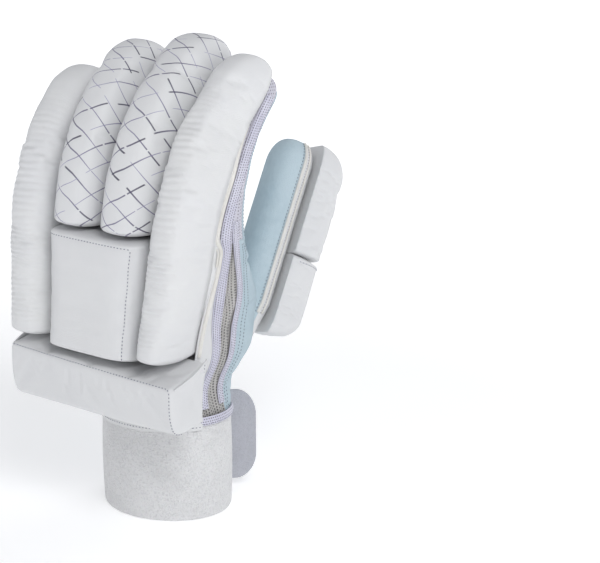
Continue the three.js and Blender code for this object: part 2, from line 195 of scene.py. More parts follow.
@dataclass(frozen=True)
class Pattern:
    """The glove's pattern sizes in millimetres and degrees, and the forms that follow from them."""

    gap: float = 0.3
    cuff_height: float = 62.0
    cuff_half_x: float = 41.0
    cuff_half_y: float = 35.0
    cuff_wall: float = 6.0
    cuff_hem_round: float = 3.0
    cuff_belly: float = 0.8
    cuff_slit: float = 3.0
    hand_height: float = 115.0
    hand_width: float = 123.0
    hand_offset: float = -7.0
    hand_wall: float = 2.4
    hand_tilt: float = 2.7
    back_setback: float = 40.0
    back_lean: float = 4.0
    palm_reach: float = 36.0
    thenar_swell: float = 12.0
    thenar_angle: float = 52.0
    finger_length: float = 120.0
    finger_bend: float = 42.0
    bend_radius: float = 92.0
    stall_root_depth: float = 36.0
    stall_tip_depth: float = 17.5
    stall_tip_round: float = 13.0
    roll_height: float = 33.0
    roll_overhang: float = 3.0
    roll_rise: float = 2.0
    panel_height: float = 71.0
    panel_below_top: float = 70.5
    bar_length: float = 121.0
    bar_offset: float = -1.0
    bar_depth: float = 32.0
    bar_height: float = 33.0
    bar_lean: float = 1.7
    bar_clearance: float = 1.4
    thumb_width: float = 30.0
    thumb_depth: float = 26.0
    thumb_length: float = 164.0
    thumb_root_rise: float = 8.0
    thumb_tip_round: float = 16.0
    thumb_pad_width: float = 35.0
    thumb_pad_thickness: float = 23.0
    side_bow: float = 4.6
    edge_foot: tuple[float, ...] = (-0.5, -0.236, 0.024, 0.272, 0.475)
    edge_tip: tuple[float, ...] = (-0.585, -0.317, -0.016, 0.309, 0.55)
    shift: tuple[float, float] = (0.0, 0.0)

    @property
    def hand_foot(self) -> float:
        """Height where the hand's leather starts."""
        return self.cuff_height + self.gap

    @property
    def hand_top(self) -> float:
        """Height of the finger roots."""
        return self.hand_foot + self.hand_height

    @property
    def panel_foot(self) -> float:
        """Height of the knuckle panel's lower edge."""
        return self.hand_top - self.panel_below_top

    @property
    def roll_foot(self) -> float:
        """Height of the long rolls' lower ends."""
        return self.panel_foot + self.roll_rise

    @property
    def lean(self) -> float:
        """Lean of the back of the hand, in radians."""
        return math.radians(self.back_lean)

    def place(self, points: Array) -> Array:
        """Points of the pattern in millimetres, as metres in the frame."""
        return (points + np.array([self.shift[0], self.shift[1], 0.0])) * MM

    def tilted(self, x: Array, y: Array, z: Array) -> Array:
        """Points of the hand, which leans to the thumb's side from nothing at the cuff."""
        x, y, z = np.broadcast_arrays(x, y, z)
        share = np.clip((z - self.cuff_height) / (self.roll_foot - self.cuff_height), 0, 1)
        tilt = math.tan(math.radians(self.hand_tilt))
        x = x + self.thumb_side_bow(x, z)
        return np.stack([x + (z - self.cuff_height) * tilt * share, y, z - x * tilt * share], -1)

    def thumb_side_bow(self, x: Array, z: Array) -> Array:
        """How far the soft side of the index finger bows out over the finger root."""
        rise = smooth_step(118, 172, z) * (1 - smooth_step(212, 248, z))
        return self.side_bow * rise * smooth_step(14, 50, x)

    def back_line(self, z: Array | float) -> Array:
        """How far out the back of the hand lies at a height."""
        return -self.back_setback + (z - self.roll_foot) * math.tan(self.lean)

    def edge_at(self, index: int, z: Array | float) -> Array:
        """Where a line between two fingers runs at a height."""
        tip_z = self.hand_top + 0.9 * self.finger_length
        share = (z - self.roll_foot) / (tip_z - self.roll_foot)
        return self.hand_offset + self.hand_width * lerp(
            self.edge_foot[index], self.edge_tip[index], share
        )

    def finger_bend_z(self, finger: FingerCut, along: Array, out: Array) -> Line:
        """Depth and height of a point over a finger's bent back line.

        Args:
            finger: The finger.
            along: Distance from the finger's root.
            out: Distance off the back line.

        Returns:
            Depth and height in the pattern.
        """
        straight = finger.straight * self.finger_length
        radius = finger.radius * self.bend_radius
        arc = radius * math.radians(finger.bend * self.finger_bend)
        before = np.minimum(along, straight)
        turn = np.clip(along - straight, 0, arc)
        after = np.maximum(along - straight - arc, 0)
        angle = self.lean + turn / radius
        y = (
            self.back_line(self.hand_top) + before * math.sin(self.lean)
            + radius * (math.cos(self.lean) - np.cos(angle))
            + after * np.sin(angle)
            - out * np.cos(angle)
        )
        z = (
            self.hand_top + before * math.cos(self.lean) + radius * (np.sin(angle) - math.sin(self.lean))
            + after * np.cos(angle)
            + out * np.sin(angle)
        )
        return y, z

    def finger_point(self, finger: FingerCut, along: Array, across: Array, out: Array) -> Array:
        """Points over a finger's back line; across is -1 and 1 at the finger's edges."""
        y, z = self.finger_bend_z(finger, along, out)
        left = self.edge_at(finger.first_edge, z) + self.gap / 2
        right = self.edge_at(finger.last_edge, z) - self.gap / 2
        return self.tilted((left + right) / 2 + across * (right - left) / 2, y, z)

    def stall_depth(self, share: Array) -> Array:
        """Depth of a finger stall by the share of the finger's length."""
        root, tip = self.stall_root_depth, self.stall_tip_depth
        return curve_through([0, 0.3, 0.56, 1], [root, lerp(root, tip, 0.55), tip, tip - 3.0], share)

    def hand_section(self, z: Array) -> dict[str, Array]:
        """The hand's section values at heights between the cuff and the finger roots."""
        up = (z - self.hand_foot) / self.hand_height
        half = (self.edge_at(4, z) - self.edge_at(0, z)) / 2
        mid = (self.edge_at(4, z) + self.edge_at(0, z)) / 2
        foot_half = (self.edge_at(4, self.hand_foot) - self.edge_at(0, self.hand_foot)) / 2
        wrist = self.cuff_half_x / foot_half
        rows = [0, 0.14, 0.36, 0.6, 0.82, 1]
        leaned = [self.back_line(self.hand_foot + r * self.hand_height) for r in rows[3:]]
        back = [-self.cuff_half_y, -0.97 * self.back_setback, -self.back_setback, *leaned]
        palm = [self.cuff_half_y, *(self.palm_reach * s for s in (0.98, 1, 0.94, 0.6))]
        palm.append(leaned[-1] + self.stall_root_depth)
        return {
            "back": curve_through(rows, back, up),
            "palm": curve_through(rows, palm, up),
            "back_wide": half * curve_through(rows, [wrist, 0.7, 0.88, 0.94, 0.98, 1], up),
            "palm_wide": half * curve_through(rows, [wrist, 0.64, 0.72, 0.8, 0.9, 1], up),
            "thenar": self.thenar_swell * curve_through(rows, [0, 0.25, 1, 0.92, 0.17, 0], up),
            "box": curve_through(rows, [2, 2.4, 2.9, 3.2, 3.5, 4.5], up),
            "middle": mid * np.clip(2 * up, 0, 1),
        }

    def hand_point(self, z: Array, turn: Array, lift: Array | float = 0.0) -> Array:
        """Points round the hand; the turn starts at the thumb side and goes over the palm."""
        z, turn = np.broadcast_arrays(z, turn)
        row = self.hand_section(z)
        share = (squared(np.sin(turn), row["box"]) + 1) / 2
        wide = lerp(row["back_wide"], row["palm_wide"], share) + lift
        thenar = math.radians(self.thenar_angle)
        swell = row["thenar"] * np.maximum(0, np.cos(turn - thenar)) ** 2
        x = row["middle"] + squared(np.cos(turn), row["box"]) * wide + swell * math.cos(thenar)
        y = lerp(row["back"] - lift, row["palm"] + lift, share) + swell * math.sin(thenar)
        return self.tilted(x, y, z)

    def seam_y(self, z: Array, low: float, top: float) -> Array:
        """Depth of a lengthwise seam, which bends over above the middle of the hand."""
        bend = self.hand_foot + 0.59 * self.hand_height
        return lerp(low, top, np.clip((z - bend) / (self.hand_top - bend), 0, 1))

    def seam_turn(self, z: Array, seam: "SideSeam", thumb_side: bool) -> Array:
        """Turn at which a seam runs round the hand, at each height."""
        return self.side_turn(z, self.seam_y(z, seam.low, seam.top), thumb_side)

    def side_turn(self, z: Array, want: Array, thumb_side: bool) -> Array:
        """Turn at which a side of the hand has a wanted depth, at each height."""
        low = np.full_like(z, -math.pi / 2)
        high = np.full_like(z, math.pi / 2)
        for _ in range(26):
            middle = (low + high) / 2
            turn = middle if thumb_side else math.pi - middle
            over = self.hand_point(z, turn)[..., 1] > want
            high = np.where(over, middle, high)
            low = np.where(over, low, middle)
        middle = (low + high) / 2
        return middle if thumb_side else math.pi - middle


@dataclass(frozen=True)
class SideSeam:
    """Depth of a lengthwise seam low on the hand and at the finger roots."""

    low: float
    top: float


BACK_SEAM = SideSeam(-20.0, -24.0)
PALM_SEAM = SideSeam(6.0, -14.1)


class Form(ABC):
    """A surface in metres over u and v, which both run from 0 to 1."""

    facing: float = 1.0

    @abstractmethod
    def at(self, u: Array, v: Array) -> Array:
        """Points of the surface."""

    def flow(self, u: Array, v: Array) -> Array:
        """Lengths in metres along the surface, which patterns follow."""
        mid = np.full(160, 0.5)
        walk = np.linspace(0, 1, 160)
        wide = np.linalg.norm(np.diff(self.at(walk, mid), axis=0), axis=-1).sum()
        long = np.linalg.norm(np.diff(self.at(mid, walk), axis=0), axis=-1).sum()
        return np.stack([u * wide, v * long], -1)

    def normal(self, u: Array, v: Array) -> Array:
        """Outward unit normals of the surface."""
        step = 2e-3
        across = self.at(np.minimum(u + step, 1), v) - self.at(np.maximum(u - step, 0), v)
        along = self.at(u, np.minimum(v + step, 1)) - self.at(u, np.maximum(v - step, 0))
        out = np.cross(across, along) * self.facing
        return unit(out)

    def line(self, u: Array | float, v: Array | float, lift: float = 0.0) -> Line:
        """A line over the surface.

        Args:
            u: Places across, one value or many.
            v: Places along, one value or many.
            lift: Height over the surface in millimetres.

        Returns:
            The line's points, and the surface's normals there.
        """
        u, v = (np.asarray(x, float) for x in np.broadcast_arrays(u, v))
        normals = self.normal(u, v)
        return self.at(u, v) + normals * lift * MM, normals


def unit(vectors: Array) -> Array:
    """Vectors at length 1."""
    return vectors / np.maximum(np.linalg.norm(vectors, axis=-1, keepdims=True), 1e-12)


def way_along(points: Array) -> Array:
    """Length from a line's start to each of its points."""
    return np.concatenate([[0], np.cumsum(np.linalg.norm(np.diff(points, axis=0), axis=1))])


def read_line(at: Array, way: Array, line: Array) -> Array:
    """Points of a line at some lengths, between the lengths to its own points."""
    return np.stack([np.interp(at, way, line[:, i]) for i in range(line.shape[1])], -1)


def resampled(points: Array, carried: Array, pitch: float) -> tuple[Array, Array, Array]:
    """A line cut into equal steps.

    Args:
        points: The line's points in metres.
        carried: Vectors that go with the points, such as normals.
        pitch: Wanted step in metres.

    Returns:
        Points at the middle of each step, carried vectors and tangents there.
    """
    length = way_along(points)
    count = max(2, int(round(length[-1] / pitch)))
    at = (np.arange(count) + 0.5) / count * length[-1]
    ahead = read_line(at + pitch * 0.2, length, points)
    back = read_line(at - pitch * 0.2, length, points)
    return read_line(at, length, points), unit(read_line(at, length, carried)), unit(ahead - back)


class Bench:
    """Adds primitives and finishes meshes with Blender's own operators."""

    @staticmethod
    def clear() -> None:
        """Deselect everything."""
        bpy.ops.object.select_all(action="DESELECT")

    @staticmethod
    def pick(obj: Piece) -> None:
        """Select one object alone and make it active."""
        Bench.clear()
        obj.select_set(True)
        bpy.context.view_layer.objects.active = obj

    @staticmethod
    def points(mesh: bpy.types.Mesh) -> Array:
        """Places of a mesh's vertices, one in each row."""
        flat = np.empty(len(mesh.vertices) * 3)
        mesh.vertices.foreach_get("co", flat)
        return flat.reshape(-1, 3)

    @staticmethod
    def grid(
        name: str, form: Form, across: int, along: int, merge: bool = False, wall: float = 0.0
    ) -> Piece:
        """Add a grid and lay it over a form.

        Args:
            name: Name of the piece.
            form: The surface that it takes.
            across: Faces over u.
            along: Faces over v.
            merge: Whether edges that meet are joined, as on a tube or a closed end.
            wall: Thickness in millimetres that an open sheet gets, inwards from its face.

        Returns:
            The new piece, smooth shaded, with a UV map named Flow in metres.
        """
        Bench.clear()
        bpy.ops.mesh.primitive_grid_add(x_subdivisions=across, y_subdivisions=along, size=1.0)
        obj = bpy.context.active_object
        obj.name = name
        mesh = obj.data
        mesh.name = name
        u, v, _ = np.clip(Bench.points(mesh).T + 0.5, 0, 1)
        mesh.vertices.foreach_set("co", form.at(u, v).ravel())
        corner = np.empty(len(mesh.loops), np.int32)
        mesh.loops.foreach_get("vertex_index", corner)
        layer = mesh.uv_layers.active or mesh.uv_layers.new(name="Flow")
        layer.name = "Flow"
        layer.data.foreach_set("uv", form.flow(u, v)[corner].ravel())
        mesh.update()
        bpy.ops.object.mode_set(mode="EDIT")
        bpy.ops.mesh.select_all(action="SELECT")
        if merge:
            bpy.ops.mesh.remove_doubles(threshold=2e-6)
            bpy.ops.mesh.normals_make_consistent(inside=False)
        elif form.facing < 0:
            bpy.ops.mesh.flip_normals()
        bpy.ops.object.mode_set(mode="OBJECT")
        bpy.ops.object.shade_smooth()
        if wall:
            Bench.wall(obj, wall)
        return obj

    @staticmethod
    def modifier(obj: Piece, kind: str, **values: object) -> None:
        """Add a modifier, set its values and apply it."""
        Bench.pick(obj)
        bpy.ops.object.modifier_add(type=kind)
        added = obj.modifiers[-1]
        for key, value in values.items():
            setattr(added, key, value)
        bpy.ops.object.modifier_apply(modifier=added.name)

    @staticmethod
    def wall(obj: Piece, thickness: float) -> None:
        """Give an open sheet its thickness in millimetres, inwards from its face."""
        Bench.modifier(obj, "SOLIDIFY", thickness=thickness * MM, offset=-1.0, use_rim=True)

    @staticmethod
    def repeated(name: str, one: Piece, turns: Array, places: Array) -> Piece:
        """One mesh of many copies of an object, which is removed.

        Args:
            name: Name of the new piece.
            one: The object that is repeated.
            turns: A 3 by 3 matrix for each copy, with its size in it.
            places: A point for each copy.

        Returns:
            The new piece.
        """
        points = Bench.points(one.data)
        faces = [tuple(p.vertices) for p in one.data.polygons]
        every = np.einsum("nij,pj->npi", turns, points) + places[:, None, :]
        count = len(points)
        all_faces = [tuple(i + k * count for i in f) for k in range(len(places)) for f in faces]
        mesh = bpy.data.meshes.new(name)
        mesh.from_pydata(every.reshape(-1, 3).tolist(), [], all_faces)
        mesh.update()
        obj = bpy.data.objects.new(name, mesh)
        bpy.context.scene.collection.objects.link(obj)
        bpy.data.objects.remove(one)
        Bench.pick(obj)
        bpy.ops.object.shade_smooth()
        return obj


@dataclass
class RollForm(Form):
    """A padded finger roll: flat where it lies on the hand, crowned on top, round at the tip."""

    facing = -1.0
    pattern: Pattern
    finger: FingerCut
    start: float
    end: float
    foot_round: float = 5.0
    foot_width: float = 0.6
    tip_round: float = 26.0
    tip_width: float = 0.36
    slant: float = 4.0
    box: float = 2.6
    taper: float = 0.22
    side_inset: float = 0.4
    rib_depth: float = 0.0
    rib_pitch: float = 3.0
    rib_side: float = 0.0
    softness: float = 0.3
    cap: float = 0.035

    def height_at(self, along: Array) -> Array:
        """Height of the crest off the back of the hand."""
        length = self.finger.length * self.pattern.finger_length
        return self.pattern.roll_height * (1 - self.taper * np.clip(along / length, 0, 1))

    def ribs(self, along: Array, rise: Array, across: Array) -> Array:
        """Height of the soft ribs across the roll, which die out at its sides and ends."""
        wander = 0.9 * ripple(along * 0.35 + 3 * across, self.start * 0.1)
        wave = np.sin(2 * math.pi * (along + wander - 1.2 * across) / self.rib_pitch)
        uneven = 0.6 + 0.4 * ripple(along * 0.9 + 5 * across, 2.0 + self.start * 0.1)
        ends = smooth_step(self.start + 7, self.start + 14, along)
        ends = ends * (1 - smooth_step(self.end - 75, self.end - 25, along))
        side = lerp(1.0, 1 - smooth_step(0.15, 0.62, across), self.rib_side)
        return self.rib_depth * wave * uneven * ends * side * smooth_step(0.3, 0.85, rise)

    def hand_softness(self, along: Array, turn: Array, rise: Array) -> Array:
        """Slow unevenness of a hand-filled roll."""
        swell = ripple(along * 0.55 + 4 * np.sin(turn), 7.0 + self.start * 0.13)
        dents = np.sin(along * 0.31 + 2.6 * np.cos(turn) + self.start) * 0.5
        return self.softness * (swell + dents) * smooth_step(0.1, 0.7, rise)

    def at(self, u: Array, v: Array) -> Array:
        """Points of the roll; u goes round from underneath, v from the foot to the tip."""
        body, closing = capped(v, self.cap)
        along = lerp(self.start, self.end, body)
        foot = rounded_share(along - self.start, self.foot_round)
        tip = rounded_share(self.end - along, self.tip_round)
        top = self.height_at(along) * (0.15 + 0.85 * foot * tip)
        wide = lerp(self.foot_width, 1, foot) * lerp(self.tip_width, 1, tip)
        turn = 2 * math.pi * u - math.pi / 2
        rise = squared(np.maximum(np.sin(turn), 0), self.box)
        across = squared(np.cos(turn), self.box) * wide
        slanted = self.slant * np.clip(1 - (along - self.start) / (4 * self.foot_round), 0, 1)
        out = lerp(self.pattern.gap, top, rise) + self.ribs(along, rise, across)
        out = out + self.hand_softness(along, turn, rise)
        inset = 1 - self.side_inset / 16
        end_out = lerp(0.5 * top, out, closing)
        end_along = along + slanted * (1 - rise) * closing + slanted * 0.5 * (1 - closing)
        return self.pattern.place(
            self.pattern.finger_point(self.finger, end_along, across * inset * closing, end_out)
        )


@dataclass
class SectionForm(Form):
    """A padded bar: a rounded section carried along x, with rounded ends."""

    pattern: Pattern
    corners: tuple[tuple[float, float, float], ...] = (
        (0.0, 0.0, 2.0),
        (1.0, 0.03, 3.2),
        (0.96, 0.6, 12.0),
        (0.8, 1.0, 9.0),
        (0.0, 0.93, 3.0),
    )
    end_round: float = 3.4
    cap: float = 0.06
    crown: float = 0.9

    def __post_init__(self) -> None:
        """Work out the section's rounded outline once."""
        self.outline = rounded_outline(
            [(o * self.pattern.bar_depth, d * self.pattern.bar_height, r) for o, d, r in self.corners]
        )

    def at(self, u: Array, v: Array) -> Array:
        """Points of the bar; u goes round its section and v from the little finger's side."""
        p = self.pattern
        body, closing = capped(v, self.cap)
        half = p.bar_length / 2
        x = lerp(-half, half, body)
        near = np.minimum(x + half, half - x)
        size = 1 - 0.3 * (1 - rounded_share(near, self.end_round)) ** 1.0
        out, down = self.outline.read(u)
        swell = self.crown * np.clip(1 - (x / half) ** 2, 0, 1) * smooth_step(0.4, 1.0, out / p.bar_depth)
        middle_out, middle_down = 0.42 * p.bar_depth, 0.45 * p.bar_height
        out = lerp(middle_out, out + swell, size * closing)
        down = lerp(middle_down, down, size * closing)
        out = np.maximum(out, 0)
        low = smooth_step(0.0, 0.4, down / p.bar_height)
        behind = np.clip(1 - out / p.bar_depth, 0, 1) ** 1.4 * (1 - low)
        rise = 1.0 + 7.0 * smooth_step(27, 40, x) + 4.0 * smooth_step(-30, -42, x)
        down = down - rise * behind * closing
        top = p.panel_foot - p.bar_clearance
        z = top - down - x * math.tan(math.radians(p.bar_lean))
        return p.place(p.tilted(p.bar_offset + x, -p.back_setback - p.gap - out, z))


class Outline:
    """A closed outline that is read by its share of the way round."""

    def __init__(self, points: Array) -> None:
        """Keep the outline's points and the length to each.

        Args:
            points: The outline's points, without the first one again.
        """
        self.points = np.vstack([points, points[:1]])
        way = way_along(self.points)
        self.way = way / way[-1]

    def read(self, share: Array) -> Line:
        """Both coordinates at a share of the way round."""
        return tuple(np.moveaxis(read_line(share, self.way, self.points), -1, 0))


def rounded_outline(corners: Sequence[tuple[float, float, float]], steps: int = 7) -> Outline:
    """A polygon with rounded corners.

    Args:
        corners: Each corner's two coordinates and its round.
        steps: Points in each round.
    """
    points = np.array([c[:2] for c in corners], float)
    made = []
    for i, corner in enumerate(corners):
        here = points[i]
        before = points[i - 1] - here
        after = points[(i + 1) % len(points)] - here
        back, ahead = np.linalg.norm(before), np.linalg.norm(after)
        cut_back = min(corner[2], 0.48 * back)
        cut_ahead = min(corner[2], 0.48 * ahead)
        first = here + before / back * cut_back
        last = here + after / ahead * cut_ahead
        for t in np.linspace(0, 1, steps):
            made.append((1 - t) ** 2 * first + 2 * t * (1 - t) * here + t * t * last)
    return Outline(np.array(made))


@dataclass
class HandSheet(Form):
    """One sheet of the hand between two lengthwise lines."""

    pattern: Pattern
    start_line: Callable[[Array], Array]
    end_line: Callable[[Array], Array]
    low: float
    high: float
    lift: float = 0.0
    fold: Fold | None = None

    def at(self, u: Array, v: Array) -> Array:
        """Points of the sheet; u goes from its first line to its last, and v goes up."""
        z = lerp(self.low, self.high, v)
        turn = lerp(self.start_line(z), self.end_line(z), u)
        lift = self.lift + (self.fold(u, v) if self.fold else 0.0)
        return self.pattern.place(self.pattern.hand_point(z, turn, lift))


@dataclass
class StallForm(Form):
    """A finger stall, or a strip of one, from its root to its closed tip."""

    facing = -1.0
    pattern: Pattern
    finger: FingerCut
    from_turn: float = 90.0
    to_turn: float = 450.0
    lift: float = 0.0
    start: float = 0.3
    stop_short: float = 0.0
    crease: float = 0.0
    cap: float = 0.05

    def at(self, u: Array, v: Array) -> Array:
        """Points of the stall; u goes round it and v from its root to its tip."""
        p = self.pattern
        length = self.finger.length * p.finger_length
        closed = self.stop_short == 0
        stop = length + self.lift - self.stop_short
        cap = self.cap if closed else 0.0
        body = np.clip(v / (1 - cap), 0, 1)
        closing = np.clip((1 - v) / cap, 0, 1) if closed else 1.0
        along = lerp(self.start, stop, body)
        share = np.clip(along / length, 0, 1)
        depth = p.stall_depth(share)
        size = 0.35 + 0.65 * rounded_share(length + self.lift - along, p.stall_tip_round + self.lift)
        edges = (self.finger.first_edge, self.finger.last_edge)
        first, last = (p.edge_at(edge, p.hand_top) for edge in edges)
        half = (last - first) / 2
        turn = np.radians(lerp(self.from_turn, self.to_turn, u))
        wide = (1 - 0.12 * share + self.lift / half) * size
        deep = (depth / 2 + self.lift) * size
        palm_side = smooth_step(0.1, 0.8, -np.sin(turn))
        knuckles = self.crease * (
            np.exp(-(((share - 0.36) / 0.035) ** 2)) + np.exp(-(((share - 0.68) / 0.035) ** 2))
        )
        deep = deep - knuckles * palm_side
        out = deep * squared(np.sin(turn), 2.5) * closing - depth / 2
        across = wide * squared(np.cos(turn), 2.5) * closing
        return p.place(p.finger_point(self.finger, along, across, out))


@dataclass(frozen=True)
class ThumbAxes:
    """The thumb's own axes in the pattern."""

    root: Array
    along: Array
    across: Array
    back: Array

    @staticmethod
    def of(pattern: Pattern) -> "ThumbAxes":
        """Work the axes out from the way that the thumb points and its back faces."""
        aim = np.array([4.0, 78.0, 143.0])
        along = aim / np.linalg.norm(aim)
        back = np.array([0.5, 0.73, -0.46])
        back = back - along * back.dot(along)
        back /= np.linalg.norm(back)
        root = np.array([30.0, 12.0, pattern.hand_foot + pattern.thumb_root_rise])
        return ThumbAxes(root, along, np.cross(along, back), back)

    def point(self, along: Array, across: Array, out: Array) -> Array:
        """Points from lengths along the thumb, across it and out of its back."""
        along, across, out = np.broadcast_arrays(along, across, out)
        return (
            self.root + along[..., None] * self.along + across[..., None] * self.across
            + out[..., None] * self.back
        )


@dataclass
class ThumbForm(Form):
    """A strip of the thumb's stall, from inside the hand to its closed tip."""

    facing = -1.0
    pattern: Pattern
    axes: ThumbAxes
    from_turn: float
    to_turn: float
    start: float = 40.0
    cap: float = 0.06

    def at(self, u: Array, v: Array) -> Array:
        """Points of the stall; u goes round it and v towards the tip."""
        p = self.pattern
        body = np.clip(v / (1 - self.cap), 0, 1)
        closing = np.clip((1 - v) / self.cap, 0, 1)
        along = lerp(self.start, p.thumb_length, body)
        size = 0.35 + 0.65 * rounded_share(p.thumb_length - along, p.thumb_tip_round)
        root = lerp(0.5, 1, np.clip(along / p.thumb_length / 0.2 - 0.85, 0, 1))
        wide = p.thumb_width / 2 * root * size * closing
        deep = p.thumb_depth / 2 * root * size * closing
        turn = np.radians(lerp(self.from_turn, self.to_turn, u))
        across = wide * squared(np.cos(turn), 2.6)
        return p.place(self.axes.point(along, across, deep * squared(np.sin(turn), 2.6)))


@dataclass
class ThumbPadForm(Form):
    """A padded form on the back of the thumb."""

    facing = -1.0
    pattern: Pattern
    axes: ThumbAxes
    start: float
    end: float
    start_round: float
    end_round: float
    gathers: float = 0.0
    cap: float = 0.05

    def at(self, u: Array, v: Array) -> Array:
        """Points of the pad; u goes round it from underneath and v towards the thumb's tip."""
        p = self.pattern
        body, closing = capped(v, self.cap)
        along = lerp(self.start, self.end, body)
        size = rounded_share(along - self.start, self.start_round)
        size = size * rounded_share(self.end - along, self.end_round)
        wide = p.thumb_pad_width / 2 * (0.6 + 0.4 * size)
        top = p.thumb_pad_thickness * (0.2 + 0.8 * size)
        turn = 2 * math.pi * u - math.pi / 2
        rise = squared(np.maximum(np.sin(turn), 0), 2.6)
        near_tip = smooth_step(self.end - 1.5 * self.end_round, self.end - 2, along)
        folds = np.sin(np.degrees(turn) * 0.16 + 0.6 * np.sin(np.degrees(turn) * 0.05))
        top = top + self.gathers * folds * near_tip * rise
        out = p.thumb_depth / 2 + p.gap + lerp(0.35 * top, top * rise, closing)
        across = wide * squared(np.cos(turn), 2.6) * closing
        return p.place(self.axes.point(along, across, out))


@dataclass
class CuffForm(Form):
    """The cuff's wall: one closed section carried round the wrist from slit to slit."""

    facing = -1.0
    pattern: Pattern
    cap: float = 0.004

    def __post_init__(self) -> None:
        """Work out the wall's rounded section once: outwards, and up."""
        p = self.pattern
        self.outline = rounded_outline(
            [
                (0.0, 0.0, p.cuff_hem_round),
                (p.cuff_wall, 0.0, p.cuff_hem_round),
                (p.cuff_wall, 0.5 * p.cuff_height, 8.0),
                (p.cuff_wall, p.cuff_height, 1.6),
                (0.0, p.cuff_height, 1.6),
                (0.0, 0.5 * p.cuff_height, 8.0),
            ]
        )

    def at(self, u: Array, v: Array) -> Array:
        """Points of the wall; u goes round its section and v round the wrist."""
        p = self.pattern
        body, closing = capped(v, self.cap)
        half_slit = p.cuff_slit / 2 / p.cuff_half_x
        turn = lerp(math.pi / 2 + half_slit, 2.5 * math.pi - half_slit, body)
        out, z = self.outline.read(u)
        out = lerp(p.cuff_wall / 2, out, closing)
        z = lerp(p.cuff_height / 2, z, closing)
        belly = p.cuff_belly * np.sin(math.pi * z / p.cuff_height) * np.clip(out / p.cuff_wall, 0, 1)
        reach = out - p.cuff_wall + belly
        return p.place(
            np.stack([(p.cuff_half_x + reach) * np.cos(turn), (p.cuff_half_y + reach) * np.sin(turn), z], -1)
        )


class SeamLine:
    """Turn of a lengthwise line round the hand, read by height."""

    def __init__(self, pattern: Pattern, seam: SideSeam, thumb_side: bool, over: float = 0.0) -> None:
        """Find the line once.

        Args:
            pattern: The glove's pattern.
            seam: Depths of the line.
            thumb_side: Whether it runs on the thumb's side.
            over: Whole turns added, for a sheet that passes the start of the turn.
        """
        self.heights = np.linspace(pattern.hand_foot - 4, pattern.hand_top + 4, 90)
        inside = np.clip(self.heights, pattern.hand_foot, pattern.hand_top)
        self.turns = pattern.seam_turn(inside, seam, thumb_side) + over * 2 * math.pi

    def __call__(self, z: Array) -> Array:
        """Turn at a height."""
        return np.interp(z, self.heights, self.turns)


@dataclass
class StrapForm(Form):
    """The strap's outer face: round the palm side of the cuff, then out into its free end."""

    pattern: Pattern
    thickness: float = 2.4
    height: float = 58.0
    over_cuff: float = 2.0
    start_angle: float = 165.0
    leave_angle: float = 72.0
    flap_length: float = 22.0
    flap_heading: float = 44.0
    tip_round: float = 13.0

    def __post_init__(self) -> None:
        """Walk the strap's line once."""
        p = self.pattern
        clear = p.gap + p.cuff_belly + self.thickness
        turn = np.radians(np.linspace(self.start_angle, self.leave_angle, 80))
        size = np.array([p.cuff_half_x, p.cuff_half_y]) + clear
        round_cuff = np.stack([np.cos(turn), np.sin(turn)], -1) * size
        heading = math.radians(self.flap_heading)
        step = np.linspace(0, 1, 30)[1:, None] * self.flap_length
        free = round_cuff[-1] + step * np.array([math.cos(heading), math.sin(heading)])
        self.path = np.vstack([round_cuff, free])
        self.way = way_along(self.path)

    def at(self, u: Array, v: Array) -> Array:
        """Points of the strap; u goes up and v towards its free end."""
        p = self.pattern
        foot = p.cuff_height + self.over_cuff - self.height
        along = v * self.way[-1]
        x, y = np.moveaxis(read_line(along, self.way, self.path), -1, 0)
        left = np.clip(1 - (self.way[-1] - along) / self.tip_round, 0, 1)
        start = np.clip(1 - along / 6, 0, 1)
        half = self.height / 2
        trim = (half - 2) * 0.62 * (1 - np.sqrt(1 - 0.985 * left**2)) + 1.5 * start**2
        z = foot + half + (2 * u - 1) * (half - trim)
        return p.place(np.stack([x, y, z], -1))


@dataclass
class CordForm(Form):
    """A cord, piping or fold along a line, with closed ends."""

    points: Array
    normals: Array
    radius: float
    flat: float = 1.0
    cap: float = 0.004

    def at(self, u: Array, v: Array) -> Array:
        """Points of the cord; u goes round it and v along it."""
        place = v * (len(self.points) - 1)
        step = np.arange(len(self.points))
        centre = read_line(place, step, self.points)
        tangent = read_line(place, step, np.gradient(self.points, axis=0))
        side = unit(np.cross(tangent, read_line(place, step, self.normals)))
        out = unit(np.cross(side, tangent))
        closing = np.sqrt(1 - np.clip(1 - from_ends(v) / self.cap, 0, 1) ** 2)
        turn = 2 * math.pi * u
        turn = turn[..., None]
        size = (self.radius * MM * closing)[..., None]
        return centre + side * np.cos(turn) * size + out * np.sin(turn) * size * self.flat


